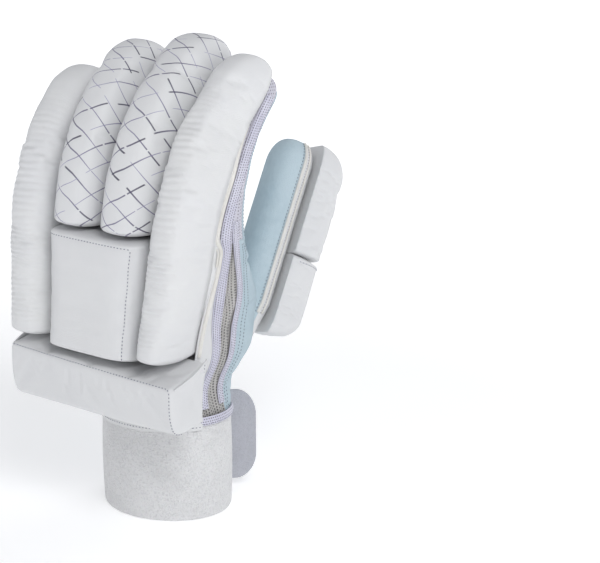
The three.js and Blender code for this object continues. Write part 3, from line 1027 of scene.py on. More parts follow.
class Wires:
    """Adds nodes to one shader tree and joins them."""

    def __init__(self, tree: bpy.types.NodeTree) -> None:
        """Work on one tree."""
        self.tree = tree

    def add(self, kind: str, **settings: object) -> Node:
        """Add a shader node and set it up."""
        node = self.tree.nodes.new("ShaderNode" + kind)
        for key, value in settings.items():
            setattr(node, key, value)
        return node

    def feed(self, target: Socket, value: object) -> None:
        """Give a socket a link, a number or a colour."""
        if isinstance(value, bpy.types.NodeSocket):
            self.tree.links.new(value, target)
        elif isinstance(value, tuple) and len(value) == 3 and target.type == "RGBA":
            target.default_value = (*value, 1)
        else:
            target.default_value = value

    def math(self, operation: str, *values: object) -> Socket:
        """Result of a Math node."""
        node = self.add("Math", operation=operation)
        for i, value in enumerate(values):
            self.feed(node.inputs[i], value)
        return node.outputs[0]

    def minus(self, a: object, b: object) -> Socket:
        """Difference of two values."""
        return self.math("SUBTRACT", a, b)

    def split(self, vector: Socket) -> tuple[Socket, Socket]:
        """The first two coordinates of a vector."""
        parts = self.add("SeparateXYZ")
        self.feed(parts.inputs[0], vector)
        return parts.outputs[0], parts.outputs[1]

    def random(self, seed: Socket) -> Socket:
        """A number from 0 to 1 that follows from a seed."""
        node = self.add("TexWhiteNoise", noise_dimensions="1D")
        self.feed(node.inputs["W"], seed)
        return node.outputs["Value"]

    def total(self, *values: object) -> Socket:
        """Sum of several values."""
        made = values[0]
        for value in values[1:]:
            made = self.math("ADD", made, value)
        return made

    def times(self, a: object, b: object) -> Socket:
        """Product of two values."""
        return self.math("MULTIPLY", a, b)

    def ranged(self, value: object, low: float, high: float, start: float = 0.0, end: float = 1.0) -> Socket:
        """A value moved from one range to another, clamped, with soft ends."""
        node = self.add("MapRange", interpolation_type="SMOOTHSTEP")
        for i, part in enumerate((value, low, high, start, end)):
            self.feed(node.inputs[i], part)
        return node.outputs[0]

    def blend(self, share: object, first: object, second: object) -> Socket:
        """Colour between two colours."""
        node = self.add("Mix", data_type="RGBA")
        self.feed(node.inputs[0], share)
        self.feed(node.inputs[6], first)
        self.feed(node.inputs[7], second)
        return node.outputs[2]

    def noise(self, vector: Socket, scale: float, detail: float = 2.0, rough: float = 0.5) -> Socket:
        """Value of a Noise texture."""
        node = self.add("TexNoise")
        self.feed(node.inputs["Vector"], vector)
        for key, value in (("Scale", scale), ("Detail", detail), ("Roughness", rough)):
            self.feed(node.inputs[key], value)
        return node.outputs[0]

    def cells(self, vector: Socket, scale: float, feature: str, random: float = 1.0) -> Socket:
        """Distance of a Voronoi texture."""
        node = self.add("TexVoronoi", feature=feature)
        self.feed(node.inputs["Vector"], vector)
        self.feed(node.inputs["Scale"], scale)
        self.feed(node.inputs["Randomness"], random)
        return node.outputs["Distance"]


class Effect(ABC):
    """A shader node group that is built once and placed with its own values in each material."""

    title: str
    takes: tuple[tuple[str, str, object], ...]
    gives: tuple[tuple[str, str], ...]

    @abstractmethod
    def wire(self, wires: Wires, takes: Sockets) -> Sockets:
        """Wire the group's inside and return what feeds each output."""

    def tree(self) -> bpy.types.NodeTree:
        """The group, built the first time."""
        found = bpy.data.node_groups.get(self.title)
        if found:
            return found
        tree = bpy.data.node_groups.new(self.title, "ShaderNodeTree")
        for name, kind, value in self.takes:
            socket = tree.interface.new_socket(name, in_out="INPUT", socket_type="NodeSocket" + kind)
            if value is not None:
                socket.default_value = value
        for name, kind in self.gives:
            tree.interface.new_socket(name, in_out="OUTPUT", socket_type="NodeSocket" + kind)
        start = tree.nodes.new("NodeGroupInput")
        end = tree.nodes.new("NodeGroupOutput")
        made = self.wire(Wires(tree), {name: start.outputs[name] for name, _, _ in self.takes})
        for name, socket in made.items():
            tree.links.new(socket, end.inputs[name])
        return tree

    def place(self, wires: Wires, **values: object) -> Node:
        """Place the group in a material; a value's name is its input's, in lower case."""
        node = wires.add("Group")
        node.node_tree = self.tree()
        for key, value in values.items():
            wires.feed(node.inputs[key.capitalize()], value)
        return node


class Grain(Effect):
    """Fine pebbled grain of coated leather."""

    title = "leather_grain"
    takes = (("Vector", "Vector", None), ("Scale", "Float", 1100.0))
    gives = (("Height", "Float"),)

    def wire(self, wires: Wires, takes: Sockets) -> Sockets:
        """Pebbles with soft joints over a finer roughness."""
        edge = wires.cells(takes["Vector"], takes["Scale"], "DISTANCE_TO_EDGE", 0.9)
        pebble = wires.ranged(edge, 0.0, 0.22)
        fine = wires.noise(takes["Vector"], wires.times(takes["Scale"], 2.3), 3.0, 0.6)
        return {"Height": wires.total(wires.times(pebble, 0.7), wires.times(fine, 0.45))}


class Unevenness(Effect):
    """Slow change between two colours, with small blotches."""

    title = "uneven_colour"
    takes = (
        ("Vector", "Vector", None),
        ("Scale", "Float", 25.0),
        ("Light", "Color", (1, 1, 1, 1)),
        ("Dark", "Color", (0.8, 0.8, 0.8, 1)),
    )
    gives = (("Colour", "Color"), ("Mask", "Float"))

    def wire(self, wires: Wires, takes: Sockets) -> Sockets:
        """Blend the two colours by a slow and a faster noise."""
        slow = wires.noise(takes["Vector"], takes["Scale"], 3.0, 0.55)
        fast = wires.noise(takes["Vector"], wires.times(takes["Scale"], 9.0), 2.0, 0.5)
        both = wires.total(wires.times(slow, 0.7), wires.times(fast, 0.3))
        mask = wires.ranged(both, 0.34, 0.66)
        return {"Colour": wires.blend(mask, takes["Dark"], takes["Light"]), "Mask": mask}


class WearAndHollowShade(Effect):
    """Masks of raised edges, which are rubbed, and of hollows, where shade is painted into the colour."""

    title = "edge_wear_and_hollow_shade"
    takes = (("Vector", "Vector", None),)
    gives = (("Edge", "Float"), ("Hollow", "Float"))

    def wire(self, wires: Wires, takes: Sockets) -> Sockets:
        """Read how sharply the surface bends, broken up by a noise."""
        sharp = wires.add("NewGeometry").outputs["Pointiness"]
        broken = wires.ranged(wires.noise(takes["Vector"], 240.0, 3.0, 0.6), 0.3, 0.7, 0.55, 1.0)
        edge = wires.times(wires.ranged(sharp, 0.52, 0.62), broken)
        # Painted shade: this hollow mask darkens the colour where the surface bends inwards.
        hollow = wires.times(wires.ranged(sharp, 0.49, 0.42), broken)
        return {"Edge": edge, "Hollow": hollow}


class Twill(Effect):
    """Fine slanting ribs pressed into the leather."""

    title = "pressed_twill"
    takes = (("Flow", "Vector", None), ("Pitch", "Float", 0.0009), ("Turn", "Float", 0.6))
    gives = (("Height", "Float"),)

    def wire(self, wires: Wires, takes: Sockets) -> Sockets:
        """Waves across the slant, each a little broken."""
        x, y = wires.split(takes["Flow"])
        side = wires.times(x, wires.math("COSINE", takes["Turn"]))
        up = wires.times(y, wires.math("SINE", takes["Turn"]))
        waver = wires.times(wires.noise(takes["Flow"], 160.0, 2.0, 0.5), 0.0011)
        along = wires.total(side, up, waver)
        phase = wires.times(wires.math("DIVIDE", along, takes["Pitch"]), 2 * math.pi)
        wave = wires.times(wires.total(wires.math("SINE", phase), 1.0), 0.5)
        broken = wires.ranged(wires.noise(takes["Flow"], 900.0, 2.0, 0.5), 0.35, 0.6, 0.45, 1.0)
        return {"Height": wires.times(wave, broken)}


class Lattice(Effect):
    """One slanting family of a printed lattice: broken lines that taper and fade."""

    title = "lattice_print"
    takes = (
        ("Flow", "Vector", None),
        ("Spacing", "Float", 0.0075),
        ("Length", "Float", 0.03),
        ("Turn", "Float", 0.7),
        ("Seed", "Float", 0.0),
        ("Width", "Float", 0.00046),
    )
    gives = (("Ink", "Float"), ("Fade", "Float"))

    def wire(self, wires: Wires, takes: Sockets) -> Sockets:
        """Number the lines and their segments, then draw each segment as a thin wedge."""
        x, y = wires.split(takes["Flow"])
        cosine, sine = wires.math("COSINE", takes["Turn"]), wires.math("SINE", takes["Turn"])
        along = wires.total(wires.times(x, cosine), wires.times(y, sine))
        across = wires.minus(wires.times(y, cosine), wires.times(x, sine))
        bow = wires.times(wires.math("SINE", wires.times(along, 70.0)), 0.0009)
        lane = wires.math("DIVIDE", wires.total(across, bow), takes["Spacing"])
        row = wires.math("FLOOR", lane)
        seeded = wires.total(wires.times(row, 1.73), takes["Seed"])
        run = wires.total(wires.math("DIVIDE", along, takes["Length"]), wires.random(seeded))
        part = wires.math("FLOOR", run)
        share = wires.math("FRACT", run)
        loose = wires.random(wires.total(seeded, wires.times(part, 7.31)))
        other = wires.random(wires.total(seeded, wires.times(part, 3.17), 40.0))
        middle = wires.total(0.5, wires.times(wires.minus(loose, 0.5), 0.3))
        off = wires.math("ABSOLUTE", wires.minus(wires.math("FRACT", lane), middle))
        distance = wires.times(off, takes["Spacing"])
        flip = wires.math("GREATER_THAN", other, 0.62)
        turned = wires.math("ABSOLUTE", wires.minus(share, flip))
        half = wires.times(takes["Width"], wires.ranged(turned, 0.0, 1.0, 1.0, 0.36))
        inside = wires.ranged(wires.math("DIVIDE", distance, half), 1.25, 0.8)
        ends = wires.times(wires.ranged(share, 0.03, 0.05), wires.ranged(share, 0.93, 0.9))
        gap = wires.math("ABSOLUTE", wires.minus(share, 0.28))
        ink = wires.times(wires.times(inside, ends), wires.ranged(gap, 0.008, 0.016))
        return {"Ink": ink, "Fade": turned}


class Knit(Effect):
    """Fine warp knit: ribs along the tape, with a small hole between the loops."""

    title = "warp_knit"
    takes = (("Flow", "Vector", None), ("Pitch", "Float", 0.0016), ("Hole", "Float", 0.24))
    gives = (("Height", "Float"), ("Holes", "Float"))

    def wire(self, wires: Wires, takes: Sockets) -> Sockets:
        """Number the loops in offset rows and shape each one."""
        x, y = (wires.math("DIVIDE", part, takes["Pitch"]) for part in wires.split(takes["Flow"]))
        odd = wires.times(wires.math("MODULO", wires.math("FLOOR", x), 2.0), 0.5)
        cell_x = wires.minus(wires.math("FRACT", x), 0.5)
        cell_y = wires.minus(wires.math("FRACT", wires.total(y, odd)), 0.5)
        flat = wires.times(cell_x, 1.15)
        reach = wires.math("SQRT", wires.total(wires.times(flat, flat), wires.times(cell_y, cell_y)))
        holes = wires.ranged(wires.minus(reach, takes["Hole"]), 0.09, -0.05)
        ribs = wires.math("ABSOLUTE", wires.math("COSINE", wires.times(x, math.pi)))
        fuzz = wires.noise(takes["Flow"], 2600.0, 2.0, 0.6)
        height = wires.total(wires.times(ribs, -0.3), wires.times(holes, -0.6), wires.times(fuzz, 0.25))
        return {"Height": wires.total(height, 0.8), "Holes": holes}


class Terry(Effect):
    """Looped pile of towelling, with the shaded pits between its loops."""

    title = "terry_pile"
    takes = (("Vector", "Vector", None), ("Scale", "Float", 720.0))
    gives = (("Height", "Float"), ("Pits", "Float"))

    def wire(self, wires: Wires, takes: Sockets) -> Sockets:
        """Round loops of two sizes."""
        loops = wires.cells(takes["Vector"], takes["Scale"], "SMOOTH_F1", 1.0)
        small = wires.noise(takes["Vector"], wires.times(takes["Scale"], 0.95), 1.0, 0.5)
        fine = wires.noise(takes["Vector"], wires.times(takes["Scale"], 2.4), 1.0, 0.5)
        height = wires.total(wires.times(loops, -0.8), wires.times(small, 0.7), wires.times(fine, 0.3))
        pits = wires.ranged(wires.total(wires.times(small, 0.75), wires.times(fine, 0.25)), 0.47, 0.38)
        return {"Height": wires.total(height, 0.6), "Pits": pits}


@dataclass(frozen=True)
class Finish(ABC):
    """A finish that is made into a material once."""

    name: str
    light: Colour
    dark: Colour
    roughness: float

    @abstractmethod
    def wire(self, wires: Wires, shader: Node) -> None:
        """Wire the material's nodes into its shader."""

    def make(self) -> bpy.types.Material:
        """Build the material."""
        made = bpy.data.materials.new(self.name)
        made.use_nodes = True
        shader = made.node_tree.nodes["Principled BSDF"]
        shader.inputs["Specular IOR Level"].default_value = 0.4
        self.wire(Wires(made.node_tree), shader)
        return made

    @staticmethod
    def places(wires: Wires) -> tuple[Socket, Socket]:
        """Object coordinates, and the piece's own Flow map in metres."""
        flow = wires.add("UVMap", uv_map="Flow")
        return wires.add("TexCoord").outputs["Object"], flow.outputs[0]

    @staticmethod
    def paint(wires: Wires, shader: Node, colour: Socket, rough: Socket) -> None:
        """Feed the shader its colour and roughness."""
        wires.feed(shader.inputs["Base Color"], colour)
        wires.feed(shader.inputs["Roughness"], rough)

    @staticmethod
    def emboss(wires: Wires, shader: Node, height: Socket, depth: float) -> None:
        """Bump the surface by a height from 0 to 1, with its depth in metres."""
        bump = wires.add("Bump")
        bump.inputs["Strength"].default_value = 1.0
        bump.inputs["Distance"].default_value = depth
        wires.feed(bump.inputs["Height"], height)
        wires.feed(shader.inputs["Normal"], bump.outputs[0])


@dataclass(frozen=True)
class Leather(Finish):
    """Coated or soft leather, with grain, an optional pressed twill, painted shade in hollows and rubbed
    edges.
    """

    grain: float = 1100.0
    grain_depth: float = 0.00005
    twill_depth: float = 0.0
    twill_turn: float = 0.75
    blotch: float = 14.0
    # Painted shade: the colour that the hollows are darkened towards, and how far.
    hollow_shade_colour: Colour = (0.36, 0.35, 0.34)
    hollow_shade_share: float = 0.18
    coat: float = 0.0

    def base(self, wires: Wires, shader: Node) -> tuple[Socket, Socket]:
        """Colour and roughness, before any print."""
        spot, _ = self.places(wires)
        uneven = Unevenness().place(wires, vector=spot, scale=self.blotch, light=self.light, dark=self.dark)
        wear_and_shade = WearAndHollowShade().place(wires, vector=spot)
        # Painted shade: the colour is blended darker in the hollows.
        hollow_shade_mask = wires.times(wear_and_shade.outputs["Hollow"], self.hollow_shade_share)
        colour = wires.blend(hollow_shade_mask, uneven.outputs["Colour"], self.hollow_shade_colour)
        rubbed = wires.times(wear_and_shade.outputs["Edge"], -0.12)
        patchy = wires.times(uneven.outputs["Mask"], 0.1)
        return colour, wires.total(rubbed, patchy, self.roughness - 0.05)

    def relief(self, wires: Wires, shader: Node) -> None:
        """Bump of the grain and the twill."""
        spot, flow = self.places(wires)
        deepest = self.grain_depth + self.twill_depth
        grain = Grain().place(wires, vector=spot, scale=self.grain).outputs["Height"]
        height = wires.times(grain, self.grain_depth / deepest)
        if self.twill_depth:
            twill = Twill().place(wires, flow=flow, turn=self.twill_turn).outputs["Height"]
            height = wires.total(height, wires.times(twill, self.twill_depth / deepest))
        self.emboss(wires, shader, height, deepest)

    def wire(self, wires: Wires, shader: Node) -> None:
        """Colour, roughness and relief."""
        self.paint(wires, shader, *self.base(wires, shader))
        shader.inputs["Coat Weight"].default_value = self.coat
        shader.inputs["Coat Roughness"].default_value = 0.32
        self.relief(wires, shader)


@dataclass(frozen=True)
class PrintedLeather(Leather):
    """White leather with a generic lattice of broken lines."""

    ink: Colour = (0.035, 0.03, 0.055)
    faded: Colour = (0.36, 0.34, 0.52)
    seed: float = 0.0

    def wire(self, wires: Wires, shader: Node) -> None:
        """Draw two slanting families of lines over the leather."""
        colour, rough = self.base(wires, shader)
        _, flow = self.places(wires)
        families = ((0.0112, 0.044, 0.74, 0.0), (0.0118, 0.047, -0.7, 11.0))
        for spacing, length, turn, shift in families:
            lines = Lattice().place(
                wires, flow=flow, spacing=spacing, length=length, turn=turn, seed=self.seed + shift
            )
            ink = wires.blend(lines.outputs["Fade"], self.ink, self.faded)
            colour = wires.blend(wires.times(lines.outputs["Ink"], 0.93), colour, ink)
            rough = wires.total(rough, wires.times(lines.outputs["Ink"], -0.1))
        self.paint(wires, shader, colour, rough)
        self.relief(wires, shader)


@dataclass(frozen=True)
class KnitCloth(Finish):
    """Knitted tape or mesh, with the hole between its loops painted dark as the shade of what lies behind
    it.
    """

    pitch: float = 0.0016
    hole: float = 0.24
    # Painted shade: the colour of the shaded inside that is seen through the holes.
    hole_shade_colour: Colour = (0.12, 0.11, 0.15)
    depth: float = 0.00045
    sheen: float = 0.25

    def wire(self, wires: Wires, shader: Node) -> None:
        """Loops and holes over an uneven yarn colour."""
        spot, flow = self.places(wires)
        knit = Knit().place(wires, flow=flow, pitch=self.pitch, hole=self.hole)
        yarn = Unevenness().place(wires, vector=spot, scale=60.0, light=self.light, dark=self.dark)
        # Painted shade: the holes are blended towards the dark colour of the inside.
        dark = wires.times(knit.outputs["Holes"], 0.85)
        rough = wires.total(wires.times(yarn.outputs["Mask"], 0.08), self.roughness)
        self.paint(wires, shader, wires.blend(dark, yarn.outputs["Colour"], self.hole_shade_colour), rough)
        shader.inputs["Sheen Weight"].default_value = self.sheen
        shader.inputs["Sheen Roughness"].default_value = 0.5
        self.emboss(wires, shader, knit.outputs["Height"], self.depth)


@dataclass(frozen=True)
class PileCloth(Finish):
    """Towelling or brushed felt."""

    scale: float = 720.0
    depth: float = 0.0008
    pit_share: float = 0.5
    sheen: float = 0.3

    @property
    def shade(self) -> Colour:
        """The light colour where the pile lies the other way."""
        return tuple(0.9 * part for part in self.light)

    def wire(self, wires: Wires, shader: Node) -> None:
        """Loops over an uneven colour, with painted shade in the pits between them."""
        spot, _ = self.places(wires)
        pile = Terry().place(wires, vector=spot, scale=self.scale)
        cloth = Unevenness().place(wires, vector=spot, scale=45.0, light=self.light, dark=self.shade)
        # Painted shade: the pits are blended towards the dark colour.
        pits = wires.times(pile.outputs["Pits"], self.pit_share)
        rough = wires.total(wires.times(cloth.outputs["Mask"], 0.06), self.roughness)
        self.paint(wires, shader, wires.blend(pits, cloth.outputs["Colour"], self.dark), rough)
        shader.inputs["Sheen Weight"].default_value = self.sheen
        shader.inputs["Sheen Roughness"].default_value = 0.6
        self.emboss(wires, shader, pile.outputs["Height"], self.depth)


@dataclass(frozen=True)
class Thread(Finish):
    """Sewing thread with its twist."""

    def wire(self, wires: Wires, shader: Node) -> None:
        """Twist as slanting bands."""
        spot, _ = self.places(wires)
        twist = wires.add("TexWave", bands_direction="DIAGONAL")
        wires.feed(twist.inputs["Vector"], spot)
        twist.inputs["Scale"].default_value = 900.0
        thread = Unevenness().place(wires, vector=spot, scale=90.0, light=self.light, dark=self.dark)
        rough = wires.total(wires.times(twist.outputs["Fac"], 0.1), self.roughness)
        self.paint(wires, shader, thread.outputs["Colour"], rough)
        self.emboss(wires, shader, twist.outputs["Fac"], 0.00008)


@dataclass(frozen=True)
class Paper(Finish):
    """Matt background paper."""

    def wire(self, wires: Wires, shader: Node) -> None:
        """A nearly even pale colour."""
        spot, _ = self.places(wires)
        paper = Unevenness().place(wires, vector=spot, scale=1.5, light=self.light, dark=self.dark)
        wires.feed(shader.inputs["Base Color"], paper.outputs["Colour"])
        shader.inputs["Roughness"].default_value = self.roughness


ROLL_LEATHER = Leather(
    "roll_leather", (0.72, 0.725, 0.725), (0.695, 0.70, 0.71), 0.46,
    grain=1500.0, grain_depth=0.00004, twill_depth=0.00007, coat=0.04,
)
PRINTED = {
    "ring": PrintedLeather(
        "lattice_leather_ring", (0.70, 0.705, 0.71), (0.675, 0.68, 0.69), 0.45,
        grain=1500.0, grain_depth=0.00003, twill_depth=0.00003, seed=3.0,
    ),
    "middle": PrintedLeather(
        "lattice_leather_middle", (0.70, 0.705, 0.71), (0.675, 0.68, 0.69), 0.45,
        grain=1500.0, grain_depth=0.00003, twill_depth=0.00003, seed=71.0,
    ),
}
PAD_LEATHER = Leather(
    "pad_leather", (0.70, 0.705, 0.71), (0.675, 0.68, 0.69), 0.42,
    grain=1700.0, grain_depth=0.00004, twill_depth=0.00003, coat=0.08,
)
LINING_LEATHER = Leather("side_leather", (0.71, 0.715, 0.715), (0.68, 0.685, 0.69), 0.5, grain_depth=0.00005)
PIPING_LEATHER = Leather(
    "creamy_piping", (0.74, 0.725, 0.69), (0.67, 0.655, 0.615), 0.42, grain_depth=0.00003, blotch=90.0
)
PALM_LEATHER = Leather(
    "palm_leather_blue", (0.50, 0.605, 0.66), (0.43, 0.54, 0.60), 0.66,
    # Painted shade in the palm's hollows: a darker blue, at a larger share.
    grain=900.0, grain_depth=0.00012, blotch=34.0, hollow_shade_colour=(0.26, 0.31, 0.35), hollow_shade_share=0.4,
)
KNIT_TAPE = KnitCloth("knit_tape_lavender", (0.66, 0.655, 0.75), (0.59, 0.585, 0.70), 0.8)
STALL_KNIT = KnitCloth("stall_knit", (0.62, 0.61, 0.68), (0.54, 0.53, 0.61), 0.82, pitch=0.0021, hole=0.2)
# Painted shade: the hole colours below are the shaded inside seen through the netting and mesh.
NETTING = KnitCloth(
    "grey_netting", (0.52, 0.505, 0.49), (0.40, 0.39, 0.375), 0.8,
    pitch=0.0019, hole=0.27, hole_shade_colour=(0.05, 0.05, 0.05), depth=0.0006,
)
HOLED_MESH = KnitCloth(
    "holed_mesh", (0.70, 0.70, 0.73), (0.62, 0.62, 0.66), 0.78,
    pitch=0.0046, hole=0.25, hole_shade_colour=(0.015, 0.015, 0.02), depth=0.0009,
)
TOWELLING = PileCloth("towelling", (0.74, 0.74, 0.745), (0.55, 0.55, 0.565), 0.92, scale=900.0)
FELT = PileCloth(
    "strap_felt", (0.50, 0.51, 0.56), (0.36, 0.37, 0.42), 0.92, scale=1400.0, depth=0.0004, pit_share=0.5
)
# The grey thread is partly the thread's own colour and partly painted shade of the sunken stitch holes.
GREY_THREAD = Thread("grey_thread", (0.30, 0.30, 0.36), (0.22, 0.22, 0.28), 0.6)
BLUE_THREAD = Thread("blue_grey_thread", (0.20, 0.25, 0.29), (0.15, 0.19, 0.23), 0.6)
FLOOR_PAPER = Paper("studio_floor_glowing_paper", (0.93, 0.935, 0.94), (0.92, 0.925, 0.93), 0.95)


class Wardrobe:
    """Makes each finish once and gives it to the pieces."""

    def __init__(self) -> None:
        """Start with no material made."""
        self.made: dict[str, bpy.types.Material] = {}

    def dress(self, piece: Piece, finish: Finish, slot: Slot) -> Piece:
        """Give a piece its finish and attach it to the body."""
        if finish.name not in self.made:
            self.made[finish.name] = finish.make()
        piece.data.materials.clear()
        piece.data.materials.append(self.made[finish.name])
        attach(piece, BODY)
        LOG.info("%s: %d faces", piece.name, len(piece.data.polygons))
        return piece


@dataclass
class RibbonForm(Form):
    """A flat ribbon between two edge lines, a little crowned."""

    first: Array
    second: Array
    normals: Array
    crown: float = 0.0

    def at(self, u: Array, v: Array) -> Array:
        """Points of the ribbon; u goes from its first edge to its second."""
        place = v * (len(self.first) - 1)
        step = np.arange(len(self.first))
        one, two, out = (read_line(place, step, line) for line in (self.first, self.second, self.normals))
        rise = self.crown * (1 - (2 * u - 1) ** 2)
        return one + (two - one) * u[..., None] + out * (rise * MM)[..., None]


def read_grid(grid: Array, u: Array, v: Array) -> Array:
    """Values between the places of an even grid, read by smooth weights.

    Args:
        grid: Values in rows along v and columns along u.
        u: Places across.
        v: Places along.
    """
    u, v = np.broadcast_arrays(u, v)
    rows, columns = grid.shape[0] - 1, grid.shape[1] - 1
    y, x = v * rows, u * columns
    j = np.clip(np.floor(y).astype(int), 0, rows - 1)
    i = np.clip(np.floor(x).astype(int), 0, columns - 1)
    total = 0.0
    for b, by in enumerate(smooth_weights(y - j)):
        for a, ax in enumerate(smooth_weights(x - i)):
            row = np.clip(j + b - 1, 0, rows)
            column = np.clip(i + a - 1, 0, columns)
            total = total + (by * ax)[..., None] * grid[row, column]
    return total


def smooth_weights(t: Array) -> tuple[Array, Array, Array, Array]:
    """Weights of four neighbours at a share between the middle two."""
    return (
        (-t + 2 * t**2 - t**3) / 2,
        (2 - 5 * t**2 + 3 * t**3) / 2,
        (t + 4 * t**2 - 3 * t**3) / 2,
        (-(t**2) + t**3) / 2,
    )


@dataclass
class PatchForm(Form):
    """A surface through a grid of points in metres."""

    grid: Array

    def at(self, u: Array, v: Array) -> Array:
        """Points of the patch."""
        return read_grid(self.grid, u, v)


class SwollenForm(Form):
    """A padded form with the swell that stuffing gave it."""

    def __init__(self, base: Form, swell: Array) -> None:
        """Keep the form and its swell.

        Args:
            base: The form as it was cut.
            swell: Movements in metres over an even grid, along v first and across u second.
        """
        self.base = base
        self.swell = swell
        self.facing = base.facing

    def at(self, u: Array, v: Array) -> Array:
        """Points of the stuffed form."""
        return self.base.at(u, v) + read_grid(self.swell, u, v)


@dataclass
class Stuffing:
    """Fills a padded form by a cloth simulation on a coarse copy of it.

    The copy is blown up with gravity off while its seams are held, and its capped movement is read back
    over the same grid, so that the piece keeps its ribs, its seams and its Flow map.
    """

    across: int = 28
    along: int = 56
    pressure: float = 4.0
    spare_cloth: float = 0.014
    most: float = 1.3
    frames: int = 20

    def fill(self, name: str, form: Form, held: Fold) -> Form:
        """Stuff a form.

        Args:
            name: Name of the piece.
            form: The form as it was cut.
            held: Tells from u and v how firmly each place is sewn down, from 0 to 1.
        """
        blank = Bench.grid(name + "_stuffing", form, self.across, self.along, True)
        rest = Bench.points(blank.data)
        columns, rows = np.meshgrid(np.linspace(0, 1, self.across + 1), np.linspace(0, 1, self.along + 1))
        cut = form.at(columns, rows).reshape(-1, 3)
        tree = KDTree(len(rest))
        for index, point in enumerate(rest):
            tree.insert(point, index)
        tree.balance()
        same = np.array([tree.find(point)[1] for point in cut])
        firm = np.zeros(len(rest))
        np.maximum.at(firm, same, np.clip(held(columns, rows), 0, 1).ravel())
        group = blank.vertex_groups.new(name="sewn")
        for level in (0.25, 0.5, 0.75, 1.0):
            near = np.where(np.abs(firm - level) <= 0.125)[0]
            group.add([int(i) for i in near], level, "REPLACE")
        Bench.pick(blank)
        bpy.ops.object.modifier_add(type="CLOTH")
        cloth = blank.modifiers[-1]
        settings = {
            "quality": 6,
            "mass": 0.3,
            "tension_stiffness": 18,
            "compression_stiffness": 14,
            "shear_stiffness": 8,
            "bending_stiffness": 0.6,
            "use_pressure": True,
            "uniform_pressure_force": self.pressure,
            "shrink_min": -self.spare_cloth,
            "vertex_group_mass": "sewn",
            "pin_stiffness": 1.0,
        }
        for key, value in settings.items():
            setattr(cloth.settings, key, value)
        cloth.settings.effector_weights.gravity = 0.0
        cloth.collision_settings.use_collision = False
        cloth.point_cache.frame_start = 1
        cloth.point_cache.frame_end = self.frames
        scene = bpy.context.scene
        for frame in range(1, self.frames + 1):
            scene.frame_set(frame)
        bpy.ops.object.modifier_apply(modifier=cloth.name)
        moved = Bench.points(blank.data) - rest
        scene.frame_set(1)
        size = np.linalg.norm(moved, axis=1, keepdims=True)
        most = self.most * MM
        moved *= np.where(size > 1e-9, most * np.tanh(size / most) / np.maximum(size, 1e-9), 0)
        bpy.data.objects.remove(blank)
        LOG.info("%s: stuffing moved it by up to %.2f mm", name, size.max() / MM)
        return SwollenForm(form, moved[same].reshape(self.along + 1, self.across + 1, 3))


@dataclass(frozen=True)
class Stitch:
    """One stitch of a seam, in millimetres."""

    length: float = 1.15
    width: float = 0.62
    height: float = 0.5
    pitch: float = 2.15


FINE_STITCH = Stitch()
LONG_STITCH = Stitch(1.9, 0.6, 0.45, 2.9)
DOT_STITCH = Stitch(0.8, 0.6, 0.4, 1.8)


class Sewing:
    """Runs of stitches and cords along lines."""

    def __init__(self, wardrobe: Wardrobe) -> None:
        """Keep the wardrobe that the runs are dressed from."""
        self.wardrobe = wardrobe

    def seam(
        self,
        name: str,
        lines: Sequence[Line],
        finish: Finish,
        slot: Slot,
        stitch: Stitch = FINE_STITCH,
    ) -> Piece:
        """Sew stitches along lines.

        Args:
            name: Name of the run.
            lines: Points and normals of each line.
            finish: The thread's finish.
            slot: Slot of the cloth or leather that it sews.
            stitch: Size of a stitch.

        Returns:
            The run, as one piece.
        """
        turns, places = [], []
        size = np.array([stitch.length / 2, stitch.width / 2, stitch.height / 2]) * MM
        for points, normals in lines:
            place, out, along = resampled(points, normals, stitch.pitch * MM)
            side = unit(np.cross(out, along))
            turns.append(np.stack([along, side, np.cross(along, side)], -1) * size)
            places.append(place)
        Bench.clear()
        bpy.ops.mesh.primitive_uv_sphere_add(segments=8, ring_count=5, radius=1.0)
        one = bpy.context.active_object
        run = Bench.repeated(name, one, np.concatenate(turns), np.concatenate(places))
        return self.wardrobe.dress(run, finish, slot)

    def cord(
        self,
        name: str,
        line: Line,
        radius: float,
        finish: Finish,
        slot: Slot,
        flat: float = 1.0,
        steps: int = 220,
    ) -> Piece:
        """Lay a piping along a line.

        Args:
            name: Name of the piping.
            line: Its points and the normals under it.
            radius: Its radius in millimetres.
            finish: Its finish.
            slot: Its slot.
            flat: Its height as a share of its width.
            steps: Faces along it.

        Returns:
            The piping.
        """
        points, normals, _ = resampled(*line, np.linalg.norm(np.diff(line[0], axis=0), axis=1).sum() / steps)
        piping = Bench.grid(name, CordForm(points, normals, radius, flat), 12, steps, True)
        return self.wardrobe.dress(piping, finish, slot)

    def sheet(
        self, name: str, form: Form, thickness: float, finish: Finish, slot: Slot, faces: tuple[int, int]
    ) -> Form:
        """Lay a sheet over a form, and return the form for its stitches."""
        self.wardrobe.dress(Bench.grid(name, form, *faces, wall=thickness), finish, slot)
        return form

    def ribbon(
        self,
        name: str,
        edges: tuple[Array, Array, Array],
        thickness: float,
        finish: Finish,
        slot: Slot,
        crown: float = 0.3,
        faces: tuple[int, int] = (10, 160),
    ) -> RibbonForm:
        """Lay a tape between two edges.

        Args:
            name: Name of the tape.
            edges: Its first edge, its second edge and the normals along it.
            thickness: Its thickness in millimetres.
            finish: Its finish.
            slot: Its slot.
            crown: How far its middle stands over its edges.
            faces: Faces across and along.

        Returns:
            The tape's form, for its stitches.
        """
        form = RibbonForm(*edges, crown)
        middle = len(edges[0]) // 2
        across, along = edges[1][middle] - edges[0][middle], edges[0][middle + 1] - edges[0][middle]
        if np.dot(np.cross(across, along), edges[2][middle]) < 0:
            form.facing = -1.0
        return self.sheet(name, form, thickness, finish, slot, faces)


@dataclass
class Part(ABC):
    """A sub-assembly of the glove."""

    pattern: Pattern
    wardrobe: Wardrobe

    @property
    def sewing(self) -> Sewing:
        """Stitches and cords from the same wardrobe."""
        return Sewing(self.wardrobe)

    @abstractmethod
    def build(self) -> None:
        """Build and dress the sub-assembly's pieces."""


